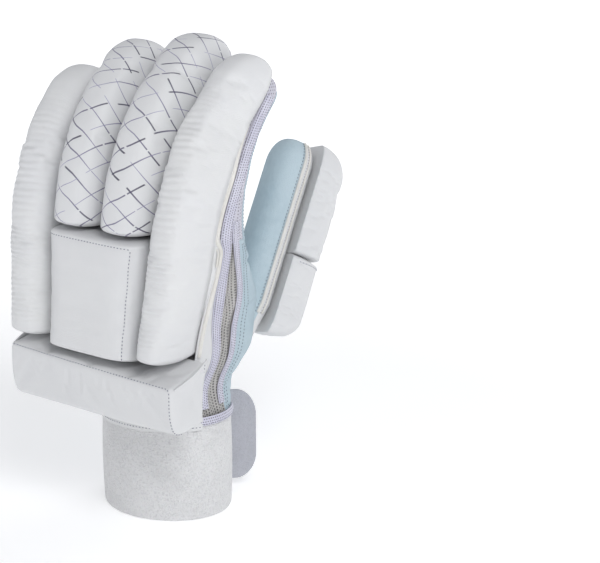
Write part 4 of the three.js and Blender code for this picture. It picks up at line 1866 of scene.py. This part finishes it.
@dataclass
class Rolls(Part):
    """The padded rolls on the backs of the fingers."""

    across: int = 72
    along: int = 420
    rib_depth: float = 0.42
    index_rib_side: float = 0.72

    def form(self, finger: FingerCut) -> RollForm:
        """The form of one finger's roll, as it is cut."""
        p = self.pattern
        foot = p.roll_foot if finger.from_wrist else p.panel_foot + p.panel_height
        start = foot + p.gap - p.hand_top
        end = finger.length * p.finger_length + p.roll_overhang
        depth = self.rib_depth if finger.from_wrist else 0.0
        side = self.index_rib_side if finger.name == "index" else 0.0
        return RollForm(p, finger, start, end, rib_depth=depth, rib_side=side)

    @staticmethod
    def held(u: Array, v: Array) -> Array:
        """The roll is sewn down all along its foot and tip edges and under both sides."""
        side = smooth_step(0.29, 0.23, from_underside(u))
        ends = smooth_step(0.06, 0.03, from_ends(v))
        return np.maximum(side, ends)

    def build(self) -> None:
        """Build and dress each roll."""
        for finger in FINGERS:
            name = f"{finger.name}_finger_roll"
            form = Stuffing(along=84).fill(name, self.form(finger), self.held)
            roll = Bench.grid(name, form, self.across, self.along, True)
            self.wardrobe.dress(roll, PRINTED.get(finger.name, ROLL_LEATHER), Slot.WHITE)
            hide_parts(f"{finger.name}_roll")


@dataclass
class KnucklePanel(Part):
    """The bare padded panel over the knuckles, with its sewn edge."""

    def form(self) -> RollForm:
        """The panel's form, as it is cut."""
        p = self.pattern
        flat = FingerCut("panel", 1, 3, 1.0, 1.0, 1.0, 0.0, False)
        start = p.panel_foot - p.hand_top
        return RollForm(
            p, flat, start, start + p.panel_height, 3.5, 0.85, 3.5, 0.85, 0.0, 6.0, 0.0, 0.6, cap=0.12
        )

    @staticmethod
    def held(u: Array, v: Array) -> Array:
        """The panel is sewn along its front edges and to the hand."""
        front = smooth_step(0.02, 0.0, np.abs(u - 0.372)) + smooth_step(0.02, 0.0, np.abs(u - 0.628))
        under = smooth_step(0.16, 0.1, from_underside(u))
        ends = smooth_step(0.14, 0.12, from_ends(v))
        return np.maximum(np.maximum(front, under), ends)

    def edge_line(self, form: Form) -> Line:
        """The sewn line near the front face's top edge and thumb-side edge, round their corner."""
        u_right, u_left, v_top, v_foot, bend = 0.385, 0.627, 0.832, 0.15, 0.02
        down = np.linspace(v_foot, v_top - bend, 60)
        turn = np.linspace(0, math.pi / 2, 14)[1:-1]
        over = np.linspace(u_right + bend, u_left, 60)
        u = np.concatenate([np.full_like(down, u_right), u_right + bend * (1 - np.cos(turn)), over])
        v = np.concatenate([down, v_top - bend * (1 - np.sin(turn)), np.full_like(over, v_top)])
        return form.line(u, v, 0.12)

    def build(self) -> None:
        """Build and dress the panel."""
        form = Stuffing(36, 36, 4.0, 0.008, 0.9).fill("knuckle_panel_pad", self.form(), self.held)
        panel = Bench.grid("knuckle_panel_pad", form, 176, 200, True)
        self.wardrobe.dress(panel, PAD_LEATHER, Slot.WHITE)
        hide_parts("knuckle_panel")
        self.sewing.seam("knuckle_panel_stitches", [self.edge_line(form)], GREY_THREAD, Slot.WHITE)


@dataclass
class WristBar(Part):
    """The padded bar across the wrist, with its sewn ridge and end seam."""

    ridge: float = 0.276
    ridge_end: float = 0.925

    @staticmethod
    def held(u: Array, v: Array) -> Array:
        """The bar is sewn along its ridge and to the hand."""
        ridge = smooth_step(0.03, 0.0, np.abs(u - 0.3))
        back = np.maximum(smooth_step(0.12, 0.06, u), smooth_step(0.78, 0.86, u))
        ends = smooth_step(0.08, 0.05, from_ends(v))
        return np.maximum(np.maximum(ridge, back), ends)

    def build(self) -> None:
        """Build and dress the bar."""
        form = Stuffing(36, 48, 4.0, 0.008, 1.0).fill("wrist_bar_pad", SectionForm(self.pattern), self.held)
        bar = Bench.grid("wrist_bar_pad", form, 160, 240, True)
        self.wardrobe.dress(bar, PAD_LEATHER, Slot.WHITE)
        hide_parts("wrist_roll")
        bend = 0.018
        over = np.linspace(0.07, self.ridge_end - bend, 110)
        turn = np.linspace(0, math.pi / 2, 12)[1:-1]
        down = np.linspace(self.ridge + 1.6 * bend, 0.6, 40)
        u = np.concatenate(
            [np.full_like(over, self.ridge), self.ridge + 1.6 * bend * (1 - np.cos(turn)), down]
        )
        v = np.concatenate(
            [over, self.ridge_end - bend * (1 - np.sin(turn)), np.full_like(down, self.ridge_end)]
        )
        self.sewing.seam("wrist_bar_stitches", [form.line(u, v, 0.2)], GREY_THREAD, Slot.WHITE)


@dataclass
class Hand(Part):
    """The hand's sheets: back lining, side meshes and palm leather, with the palm's seams and patch."""

    def build(self) -> None:
        """Build and dress the sheets, then what is sewn on them."""
        p = self.pattern
        back = (SeamLine(p, BACK_SEAM, False), SeamLine(p, BACK_SEAM, True, 1.0))
        radial = (SeamLine(p, BACK_SEAM, True), SeamLine(p, PALM_SEAM, True))
        ulnar = (SeamLine(p, PALM_SEAM, False), SeamLine(p, BACK_SEAM, False))
        self.palm = (radial[1], ulnar[0])
        sheets = (
            ("back_lining_sheet", back, None, LINING_LEATHER, Slot.WHITE, "back_lining"),
            ("radial_netting", radial, self.gathers, NETTING, Slot.MESH, "radial_mesh"),
            ("ulnar_mesh_panel", ulnar, None, HOLED_MESH, Slot.MESH, "ulnar_mesh"),
            ("palm_leather_panel", self.palm, self.creases, PALM_LEATHER, Slot.PALM, "palm_leather"),
        )
        for name, lines, fold, finish, slot, node in sheets:
            form = HandSheet(p, *lines, p.hand_foot, p.hand_top, 0.0, fold)
            sheet = Bench.grid(name, form, 90, 150, wall=p.hand_wall - 0.6)
            self.wardrobe.dress(sheet, finish, slot)
            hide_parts(node)
        self.palm_work()

    @staticmethod
    def gathers(u: Array, v: Array) -> Array:
        """Lengthwise folds of the netting, which run together at the wrist."""
        sway = 0.35 * np.sin(5 * v) + 0.2 * np.sin(13 * v + 1)
        folds = np.sin(2 * math.pi * (3.6 * u + sway)) * (0.5 + 0.5 * v)
        return (0.9 * folds - 0.7) * smooth_step(0, 0.12, from_ends(u))

    @staticmethod
    def creases(u: Array, v: Array) -> Array:
        """Soft creases of the palm: under the fingers, round the thumb's base and at the wrist."""
        held = smooth_step(0, 0.08, from_ends(u)) * smooth_step(0, 0.05, from_ends(v))
        total = 0.25 * np.sin(9 * u + 2 * v) * np.sin(7 * v + 1.3)
        lines = (
            (v - 0.8 + 0.16 * (u - 0.5) + 0.012 * np.sin(14 * u), 0.018, 0.9),
            (v - 0.66 - 0.2 * (u - 0.4) + 0.015 * np.sin(11 * u + 1), 0.016, 0.7),
            (v - 0.13 - 0.05 * np.sin(6 * u), 0.02, 0.8),
            (v - 0.07 + 0.03 * np.sin(8 * u + 2), 0.014, 0.6),
            (u - 0.5 - 0.16 * np.cos(3.4 * (v - 0.25)) + 0.01 * np.sin(20 * v), 0.015, 0.8),
        )
        for distance, wide, deep in lines:
            total = total - deep * np.exp(-((distance / wide) ** 2)) + 0.4 * deep * np.exp(
                -(((distance - 2.2 * wide) / wide) ** 2)
            )
        return total * held

    def patch_on_palm(self) -> None:
        """Sew the second layer of leather over the heel of the palm."""
        p = self.pattern
        rows, columns = np.meshgrid(np.linspace(0, 1, 60), np.linspace(0, 1, 40), indexing="ij")
        taper = 0.12 * (2 * rows - 1) ** 4
        u = 0.56 + taper + (0.38 - taper * 1.4) * columns
        v = 0.16 + 0.52 * rows + 0.03 * np.sin(math.pi * columns)
        ground = HandSheet(p, *self.palm, p.hand_foot, p.hand_top, 1.0, self.creases)
        form = PatchForm(ground.at(u, v))
        self.sewing.sheet("palm_heel_patch", form, 0.9, PALM_LEATHER, Slot.PALM, (60, 90))
        at = np.linspace(0.03, 0.97, 90)
        runs = []
        for inset in (0.045, 0.1):
            runs += [form.line(x, at, 0.06) for x in (inset, 1 - inset)]
            runs += [form.line(at, x, 0.06) for x in (inset * 0.6, 1 - inset * 0.6)]
        self.sewing.seam("palm_heel_patch_stitches", runs, BLUE_THREAD, Slot.PALM)

    def palm_work(self) -> None:
        """Sew the palm's double seams: round the thumb's base, across under the fingers, and its sides."""
        p = self.pattern
        self.patch_on_palm()
        form = HandSheet(p, *self.palm, p.hand_foot, p.hand_top, 0.0, self.creases)
        v = np.linspace(0.02, 0.98, 150)
        runs = []
        for inset in (0.03, 0.055):
            runs += [form.line(inset, v, 0.06), form.line(1 - inset, v, 0.06)]
        turn = np.linspace(0, 1, 160)
        for wide in (0.0, 0.028):
            u = 0.2 + (0.34 + wide) * np.sin(math.pi * turn) ** 0.7
            runs.append(form.line(u, 0.06 + 0.86 * turn, 0.06))
        for step in (0.0, 0.022):
            across = np.linspace(0.06, 0.94, 160)
            runs.append(form.line(across, 0.93 + step, 0.06))
        self.sewing.seam("palm_seam_stitches", runs, BLUE_THREAD, Slot.PALM)


@dataclass
class Stalls(Part):
    """The knitted finger stalls, with the leather strip on each one's palm side."""

    def build(self) -> None:
        """Build and dress each stall."""
        for finger in FINGERS:
            form = StallForm(self.pattern, finger, crease=0.9)
            stall = Bench.grid(f"{finger.name}_finger_stall", form, 96, 170, True)
            self.wardrobe.dress(stall, STALL_KNIT, Slot.MESH)
            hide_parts(f"{finger.name}_stall")
            strip = StallForm(self.pattern, finger, 212.0, 328.0, 0.7, 0.5, 6.0, 0.9)
            leather = Bench.grid(f"{finger.name}_palm_strip", strip, 50, 150, wall=1.0)
            self.wardrobe.dress(leather, PALM_LEATHER, Slot.PALM)
            v = np.linspace(0.02, 0.98, 160)
            runs = [strip.line(at, v, 0.06) for at in (0.06, 0.94)]
            u = np.linspace(0.08, 0.92, 40)
            runs.append(strip.line(u, 0.975, 0.06))
            self.sewing.seam(f"{finger.name}_strip_stitches", runs, BLUE_THREAD, Slot.PALM)


@dataclass
class SideRail:
    """Lines along one side of the hand and its outer finger, placed by their depth under the back.

    A line is walked in millimetres from the finger's root: down the hand below 0, up the finger above.
    """

    pattern: Pattern
    finger: FingerCut

    @property
    def side(self) -> float:
        """1 on the thumb's side, and -1 on the other."""
        return 1.0 if self.finger.name == "index" else -1.0

    def surface(self, walk: Array, depth: Array) -> Array:
        """Points of the side in the pattern's millimetres, in the frame."""
        p = self.pattern
        z = np.clip(p.hand_top + walk, p.hand_foot, p.hand_top)
        turn = p.side_turn(z, p.back_line(z) + depth, self.side > 0)
        edge = p.finger_point(self.finger, np.minimum(walk, 0), self.side + 0 * walk, -depth)
        on_hand = lerp(edge, p.hand_point(z, turn), smooth_step(3, 17, depth)[..., None])
        length = self.finger.length * p.finger_length
        along = np.maximum(walk, 0)
        half = p.stall_depth(along / length) / 2
        size = 0.35 + 0.65 * rounded_share(length - along, p.stall_tip_round)
        high = np.clip((half - depth) / (half * size), -0.98, 0.98)
        wide = (1 - 0.12 * along / length) * size * (1 - np.abs(high) ** 2.5) ** 0.4
        on_stall = p.finger_point(self.finger, along, self.side * wide, -depth)
        return np.where((walk < 0)[..., None], on_hand, on_stall)

    def line(self, walk: Array, depth: Array, lift: float) -> Line:
        """A line and its outward normals, lifted off the side in millimetres."""
        points = self.surface(walk, depth)
        across = self.surface(walk, depth + 0.6) - self.surface(walk, depth - 0.6)
        along = np.gradient(points, axis=0)
        out = np.cross(across, along)
        out = unit(out * np.sign(out[:, :1] * self.side))
        for _ in range(10):
            points[1:-1] = points[1:-1] / 2 + (points[:-2] + points[2:]) / 4
            out[1:-1] = out[1:-1] / 2 + (out[:-2] + out[2:]) / 4
        return self.pattern.place(points + out * lift), out

    def patch(self, walk: Array, first: Array, second: Array, lift: float, columns: int = 9) -> PatchForm:
        """A sheet that follows the side between two depths."""
        lines = [self.line(walk, lerp(first, second, t), lift)[0] for t in np.linspace(0, 1, columns)]
        form = PatchForm(np.stack(lines, 1))
        form.facing = self.side
        return form


@dataclass
class SideTrim(Part):
    """What is sewn along both sides: side leather with its piping, a leather strip and knit tapes."""

    places: tuple[float, ...] = (-108, -68, -36, 0, 32, 60, 88, 104)
    piping: tuple[float, ...] = (0.5, 0.5, 2.0, 4.0, 4.0, 2.5, 1.5, 1.5)
    tape_back: tuple[float, ...] = (27.0, 24.5, 16.5, 6.8, 6.0, 4.6, 3.4, 3.0)
    tape_palm: tuple[float, ...] = (33.0, 30.5, 23.5, 13.6, 12.4, 10.4, 8.6, 8.0)
    second_tape: tuple[float, ...] = (43.5, 41.0, 37.0, 16.4, 13.5, 12.0, 11.0, 10.0)

    def depth(self, values: Sequence[float], walk: Array) -> Array:
        """Depth of a line along its walk."""
        return curve_through(self.places, values, walk)

    def build(self) -> None:
        """Trim the thumb's side and the little finger's side."""
        for finger in (FINGERS[3], FINGERS[0]):
            self.trim(finger)

    def trim(self, finger: FingerCut) -> None:
        """Trim one side."""
        p = self.pattern
        rail = SideRail(p, finger)
        name = finger.name
        length = finger.length * p.finger_length
        roll = Rolls(p, self.wardrobe).form(finger)
        walk = np.linspace(roll.start + 3, 0.93 * length, 240)
        v = roll.cap + (1 - 2 * roll.cap) * (walk - roll.start) / (roll.end - roll.start)
        upper, _ = roll.line(0.5 - 0.262 * rail.side, v, 0.1)
        lower, out = rail.line(walk, self.depth(self.piping, walk), 0.9)
        self.sewing.ribbon(
            f"{name}_roll_side_leather", (upper, lower, out), 0.8, ROLL_LEATHER, Slot.WHITE, 0.25, (10, 240)
        )
        cord, out = rail.line(walk, self.depth(self.piping, walk) + 0.4, 1.2)
        self.sewing.cord(f"{name}_roll_piping", (cord, out), 1.4, PIPING_LEATHER, Slot.WHITE, 0.8, 320)
        fold = walk[walk > -12]
        cord, out = rail.line(fold, self.depth(self.piping, fold) - 2.3, 1.2)
        self.sewing.cord(f"{name}_piping_fold", (cord, out), 0.55, PIPING_LEATHER, Slot.WHITE, 0.8, 260)
        self.corner(name, rail)
        low = np.linspace(-108, 4, 150)
        inner, outer = self.depth(self.piping, low) - 2.0, self.depth(self.tape_back, low) + 1.5
        strip = rail.patch(low, inner, outer, 0.7)
        self.sewing.sheet(f"{name}_side_strip", strip, 0.8, LINING_LEATHER, Slot.WHITE, (24, 200))
        walk = np.linspace(-108, 0.88 * length, 300)
        back, palm = self.depth(self.tape_back, walk), self.depth(self.tape_palm, walk)
        tape = rail.patch(walk, back, palm, 1.5)
        self.sewing.sheet(f"{name}_side_tape", tape, 0.9, KNIT_TAPE, Slot.MESH, (20, 360))
        walk = np.linspace(-108, 16, 160)
        back = self.depth(self.second_tape, walk)
        other = rail.patch(walk, back, back + 5.4, 1.0)
        self.sewing.sheet(f"{name}_palm_side_tape", other, 0.8, KNIT_TAPE, Slot.MESH, (14, 200))
        at = np.linspace(0.005, 0.995, 300)
        runs = [tape.line(share, at, 0.05) for share in (0.1, 0.9)]
        runs += [other.line(share, at, 0.05) for share in (0.12, 0.88)]
        self.sewing.seam(f"{name}_side_tape_stitches", runs, GREY_THREAD, Slot.MESH, DOT_STITCH)

    def corner(self, name: str, rail: SideRail) -> None:
        """Sew the leather flap over the bar's end, up to the foot of the roll."""
        p = self.pattern
        side = rail.side
        end = p.bar_offset + side * (p.bar_length / 2 + 0.5)
        top = p.panel_foot - p.bar_clearance - end * math.tan(math.radians(p.bar_lean))
        back = -p.back_setback
        rows = []
        for t in np.linspace(0, 1, 9):
            front = np.array([end - side * 1.0, back - 29.0 + 3 * t, lerp(top - 1.5, top - 27.0, t)])
            behind = np.array([end - side * lerp(2.0, 6.0, t), back + 2.0, lerp(top + 9.0, top - 27.0, t)])
            u = np.linspace(0, 1, 9)[:, None]
            row = lerp(front, behind, u) + np.array([side * 1.6, 0, 0]) * np.sin(math.pi * u)
            rows.append(p.place(p.tilted(*row.T)))
        form = PatchForm(np.stack(rows))
        form.facing = -side
        self.sewing.sheet(f"{name}_bar_end_flap", form, 0.8, PAD_LEATHER, Slot.WHITE, (30, 30))
        v = np.linspace(0.03, 0.97, 40)
        seam = form.line(0.9, v, 0.1)
        self.sewing.seam(f"{name}_bar_end_stitches", [seam], GREY_THREAD, Slot.WHITE)


@dataclass
class Thumb(Part):
    """The thumb: palm leather and gusset joined by a piped seam, and two pads on its back."""

    split: float = 95.1
    base_start: float = 44.3

    @staticmethod
    def held(u: Array, v: Array) -> Array:
        """A thumb pad is sewn down round its foot."""
        side = smooth_step(0.3, 0.24, from_underside(u))
        ends = smooth_step(0.1, 0.06, from_ends(v))
        return np.maximum(side, ends)

    def pad(self, name: str, form: ThumbPadForm, node: str) -> Form:
        """Build one pad."""
        stuffed = Stuffing(32, 40, 4.0, 0.02, 1.2).fill(name, form, self.held)
        pad = Bench.grid(name, stuffed, 140, 180, True)
        self.wardrobe.dress(pad, PAD_LEATHER, Slot.WHITE)
        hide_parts(node)
        return stuffed

    def build(self) -> None:
        """Build and dress the thumb."""
        p = self.pattern
        axes = ThumbAxes.of(p)
        leather = ThumbForm(p, axes, 167, 373)
        palm = Bench.grid("thumb_palm_leather", leather, 80, 150, wall=1.2)
        self.wardrobe.dress(palm, PALM_LEATHER, Slot.PALM)
        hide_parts("thumb_leather")
        back = ThumbForm(p, axes, 13, 167)
        gusset = Bench.grid("thumb_back_gusset", back, 60, 150, wall=1.2)
        self.wardrobe.dress(gusset, LINING_LEATHER, Slot.WHITE)
        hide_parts("thumb_gusset")
        tip = ThumbPadForm(p, axes, self.split + 0.3, p.thumb_length + 2, 2.6, 20, 0.6)
        self.pad("thumb_tip_padding", tip, "thumb_tip_pad")
        base = ThumbPadForm(p, axes, self.base_start, self.split, 14, 2.6)
        self.seams(leather, back, self.pad("thumb_base_padding", base, "thumb_base_pad"))

    def seams(self, leather: ThumbForm, back: ThumbForm, base: Form) -> None:
        """Lay the creamy bindings over the thumb's seams, and sew them.

        Args:
            leather: The palm's half of the thumb.
            back: The gusset on its back.
            base: The padding over its base.
        """
        v = np.linspace(0.1, 0.93, 130)
        for name, at in (("a", 0.015), ("b", 0.985)):
            line = leather.line(at, v, 0.4)
            self.sewing.cord(f"thumb_seam_binding_{name}", line, 1.0, PIPING_LEATHER, Slot.WHITE, 0.8, 200)
            inner = back.line(lerp(0.09, 0.91, float(at > 0.5)), v, 0.3)
            self.sewing.cord(f"thumb_pad_binding_{name}", inner, 0.7, PIPING_LEATHER, Slot.WHITE, 0.8, 200)
        runs = [leather.line(at, v, 0.06) for at in (0.045, 0.955)]
        self.sewing.seam("thumb_seam_stitches", runs, BLUE_THREAD, Slot.PALM)
        runs = [back.line(at, v, 0.06) for at in (0.055, 0.945)]
        self.sewing.seam("thumb_gusset_stitches", runs, GREY_THREAD, Slot.WHITE, DOT_STITCH)
        over = np.linspace(0.27, 0.73, 80)
        run = base.line(over, 0.885, 0.05)
        self.sewing.seam("thumb_base_padding_stitches", [run], GREY_THREAD, Slot.WHITE)


@dataclass
class Cuff(Part):
    """The towelling cuff with its hem tape, and its felt strap."""

    def build(self) -> None:
        """Build and dress the cuff and the strap."""
        p = self.pattern
        form = CuffForm(p)
        band = Bench.grid("towelling_cuff_band", form, 150, 560, True)
        self.wardrobe.dress(band, TOWELLING, Slot.TOWEL)
        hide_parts("cuff")
        strap_form = StrapForm(p)
        strap = Bench.grid("felt_wrist_strap", strap_form, 70, 160, wall=2.0)
        self.wardrobe.dress(strap, FELT, Slot.STRAP)
        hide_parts("wrist_strap")
        self.strap_seams(strap_form)
        self.hem()

    def strap_seams(self, form: StrapForm) -> None:
        """Sew round the strap near its edge."""
        along = np.linspace(0.03, 0.965, 150)
        end = np.linspace(0.06, 0.94, 60)
        first = form.line(0.06, along, 0.05)
        tip = form.line(end, 0.968, 0.05)
        last = form.line(0.94, along[::-1], 0.05)
        self.sewing.seam("wrist_strap_stitches", [first, tip, last], GREY_THREAD, Slot.STRAP, LONG_STITCH)

    def hem(self) -> None:
        """Lay the bands that join the hand to the cuff: leather behind, knit at both sides."""
        self.band("cuff_joining_band", 196, 336, LINING_LEATHER, Slot.WHITE)
        self.band("cuff_joining_knit_thumb_side", 334, 392, KNIT_TAPE, Slot.MESH)
        self.band("cuff_joining_knit_little_side", 166, 198, KNIT_TAPE, Slot.MESH)

    def band(self, name: str, start: float, end: float, finish: Finish, slot: Slot) -> None:
        """Lay one band over the joint between two angles, and sew it."""
        p = self.pattern
        turn = np.linspace(math.radians(start), math.radians(end), 160)
        clear = p.gap + p.cuff_belly
        lines = []
        half = 5.0 if finish is LINING_LEATHER else 2.6
        for z, out in ((p.cuff_height - half, clear + 0.5), (p.cuff_height + half, 1.2)):
            x = (p.cuff_half_x + out) * np.cos(turn)
            y = (p.cuff_half_y + out) * np.sin(turn)
            lines.append(p.place(np.stack([x, y, np.full_like(x, z)], -1)))
        normals = np.stack([np.cos(turn), np.sin(turn), np.zeros_like(turn)], -1)
        form = self.sewing.ribbon(name, (lines[0], lines[1], normals), 1.0, finish, slot, 0.4, (16, 160))
        v = np.linspace(0.01, 0.99, 200)
        self.sewing.seam(name + "_stitches", [form.line(0.2, v, 0.05)], GREY_THREAD, slot)


@dataclass(frozen=True)
class Studio:
    """Camera, lights, world and floor."""

    pattern: Pattern
    azimuth: float = 33.8
    elevation: float = 14.0
    distance: float = 1.0188
    focal: float = 1707.2
    width: int = 600
    target_height: float = 0.152
    target_right: float = 0.0814
    target_up: float = -0.0126

    def camera(self) -> None:
        """Stand the camera at the photograph's viewing angle."""
        a, e = math.radians(self.azimuth), math.radians(self.elevation)
        back = Vector((math.sin(a) * math.cos(e), -math.cos(a) * math.cos(e), math.sin(e)))
        right = Vector((math.cos(a), math.sin(a), 0))
        up = back.cross(right)
        shift = self.pattern.shift
        target = Vector((shift[0] * MM, shift[1] * MM, self.target_height))
        target = target + right * self.target_right + up * self.target_up
        bpy.ops.object.camera_add(location=target + back * self.distance)
        camera = bpy.context.active_object
        camera.name = "photo_camera"
        camera.rotation_euler = Matrix((right, up, back)).transposed().to_euler()
        camera.data.lens = self.focal / self.width * 36
        camera.data.sensor_width = 36
        camera.data.sensor_fit = "HORIZONTAL"
        camera.data.clip_end = 20
        bpy.context.scene.camera = camera

    def lamp(self, name: str, place: tuple[float, float, float], size: float, power: float) -> None:
        """Add a soft square lamp that looks at the glove."""
        bpy.ops.object.light_add(type="AREA", location=place)
        lamp = bpy.context.active_object
        lamp.name = name
        lamp.data.size = size
        lamp.data.energy = power
        aim = Vector((0, 0, 0.14)) - Vector(place)
        lamp.rotation_euler = aim.to_track_quat("-Z", "Y").to_euler()

    @staticmethod
    def sky() -> bpy.types.World:
        """A white room, brightest at eye level and darker overhead.

        Returns:
            The world.
        """
        world = bpy.data.worlds.new("studio_world")
        world.use_nodes = True
        tree = world.node_tree
        spot = tree.nodes.new("ShaderNodeTexCoord")
        split = tree.nodes.new("ShaderNodeSeparateXYZ")
        fade = tree.nodes.new("ShaderNodeMapRange")
        for name, value in (("From Min", 0.02), ("From Max", 0.3), ("To Min", 1.05), ("To Max", 0.41)):
            fade.inputs[name].default_value = value
        background = tree.nodes["Background"]
        background.inputs["Color"].default_value = (0.94, 0.955, 1.0, 1)
        tree.links.new(spot.outputs["Generated"], split.inputs[0])
        tree.links.new(split.outputs["Z"], fade.inputs["Value"])
        tree.links.new(fade.outputs["Result"], background.inputs["Strength"])
        return world

    @staticmethod
    def paper() -> bpy.types.Material:
        """Floor paper that glows: painted light, stronger away from the glove.

        Returns:
            The floor's material.
        """
        paper = FLOOR_PAPER.make()
        tree = paper.node_tree
        shader = tree.nodes["Principled BSDF"]
        # Painted light: the paper glows by emission, and the glow grows with the distance from the glove.
        shader.inputs["Emission Color"].default_value = (1, 1, 1, 1)
        spot = tree.nodes.new("ShaderNodeTexCoord")
        away = tree.nodes.new("ShaderNodeVectorMath")
        away.operation = "LENGTH"
        fade = tree.nodes.new("ShaderNodeMapRange")
        for name, value in (("From Min", 0.3), ("From Max", 1.6), ("To Min", 0.33), ("To Max", 0.8)):
            fade.inputs[name].default_value = value
        tree.links.new(spot.outputs["Object"], away.inputs[0])
        tree.links.new(away.outputs["Value"], fade.inputs["Value"])
        tree.links.new(fade.outputs["Result"], shader.inputs["Emission Strength"])
        return paper

    def build(self) -> None:
        """Set the whole studio up."""
        self.camera()
        self.lamp("lamp_over_camera", (1.25, -0.85, 1.4), 0.8, 14)
        self.lamp("lamp_left", (-1.3, -0.8, 1.0), 1.0, 1.5)
        self.lamp("lamp_behind", (0.2, 1.4, 1.3), 1.0, 5)
        scene = bpy.context.scene
        scene.world = self.sky()
        scene.view_settings.view_transform = "Standard"
        Bench.clear()
        bpy.ops.mesh.primitive_plane_add(size=12)
        floor = bpy.context.active_object
        floor.name = "studio_floor"
        floor.data.materials.append(self.paper())


def main() -> None:
    """Build the glove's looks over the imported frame."""
    logging.basicConfig(level=logging.INFO, format="%(message)s")
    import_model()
    low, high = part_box("cuff")
    pattern = Pattern(shift=((low[0] + high[0]) / 2 / MM, (low[1] + high[1]) / 2 / MM))
    wardrobe = Wardrobe()
    for part in (Rolls, KnucklePanel, WristBar, Hand, Stalls, SideTrim, Thumb, Cuff):
        part(pattern, wardrobe).build()
    Studio(pattern).build()


if __name__ == "__main__":
    main()
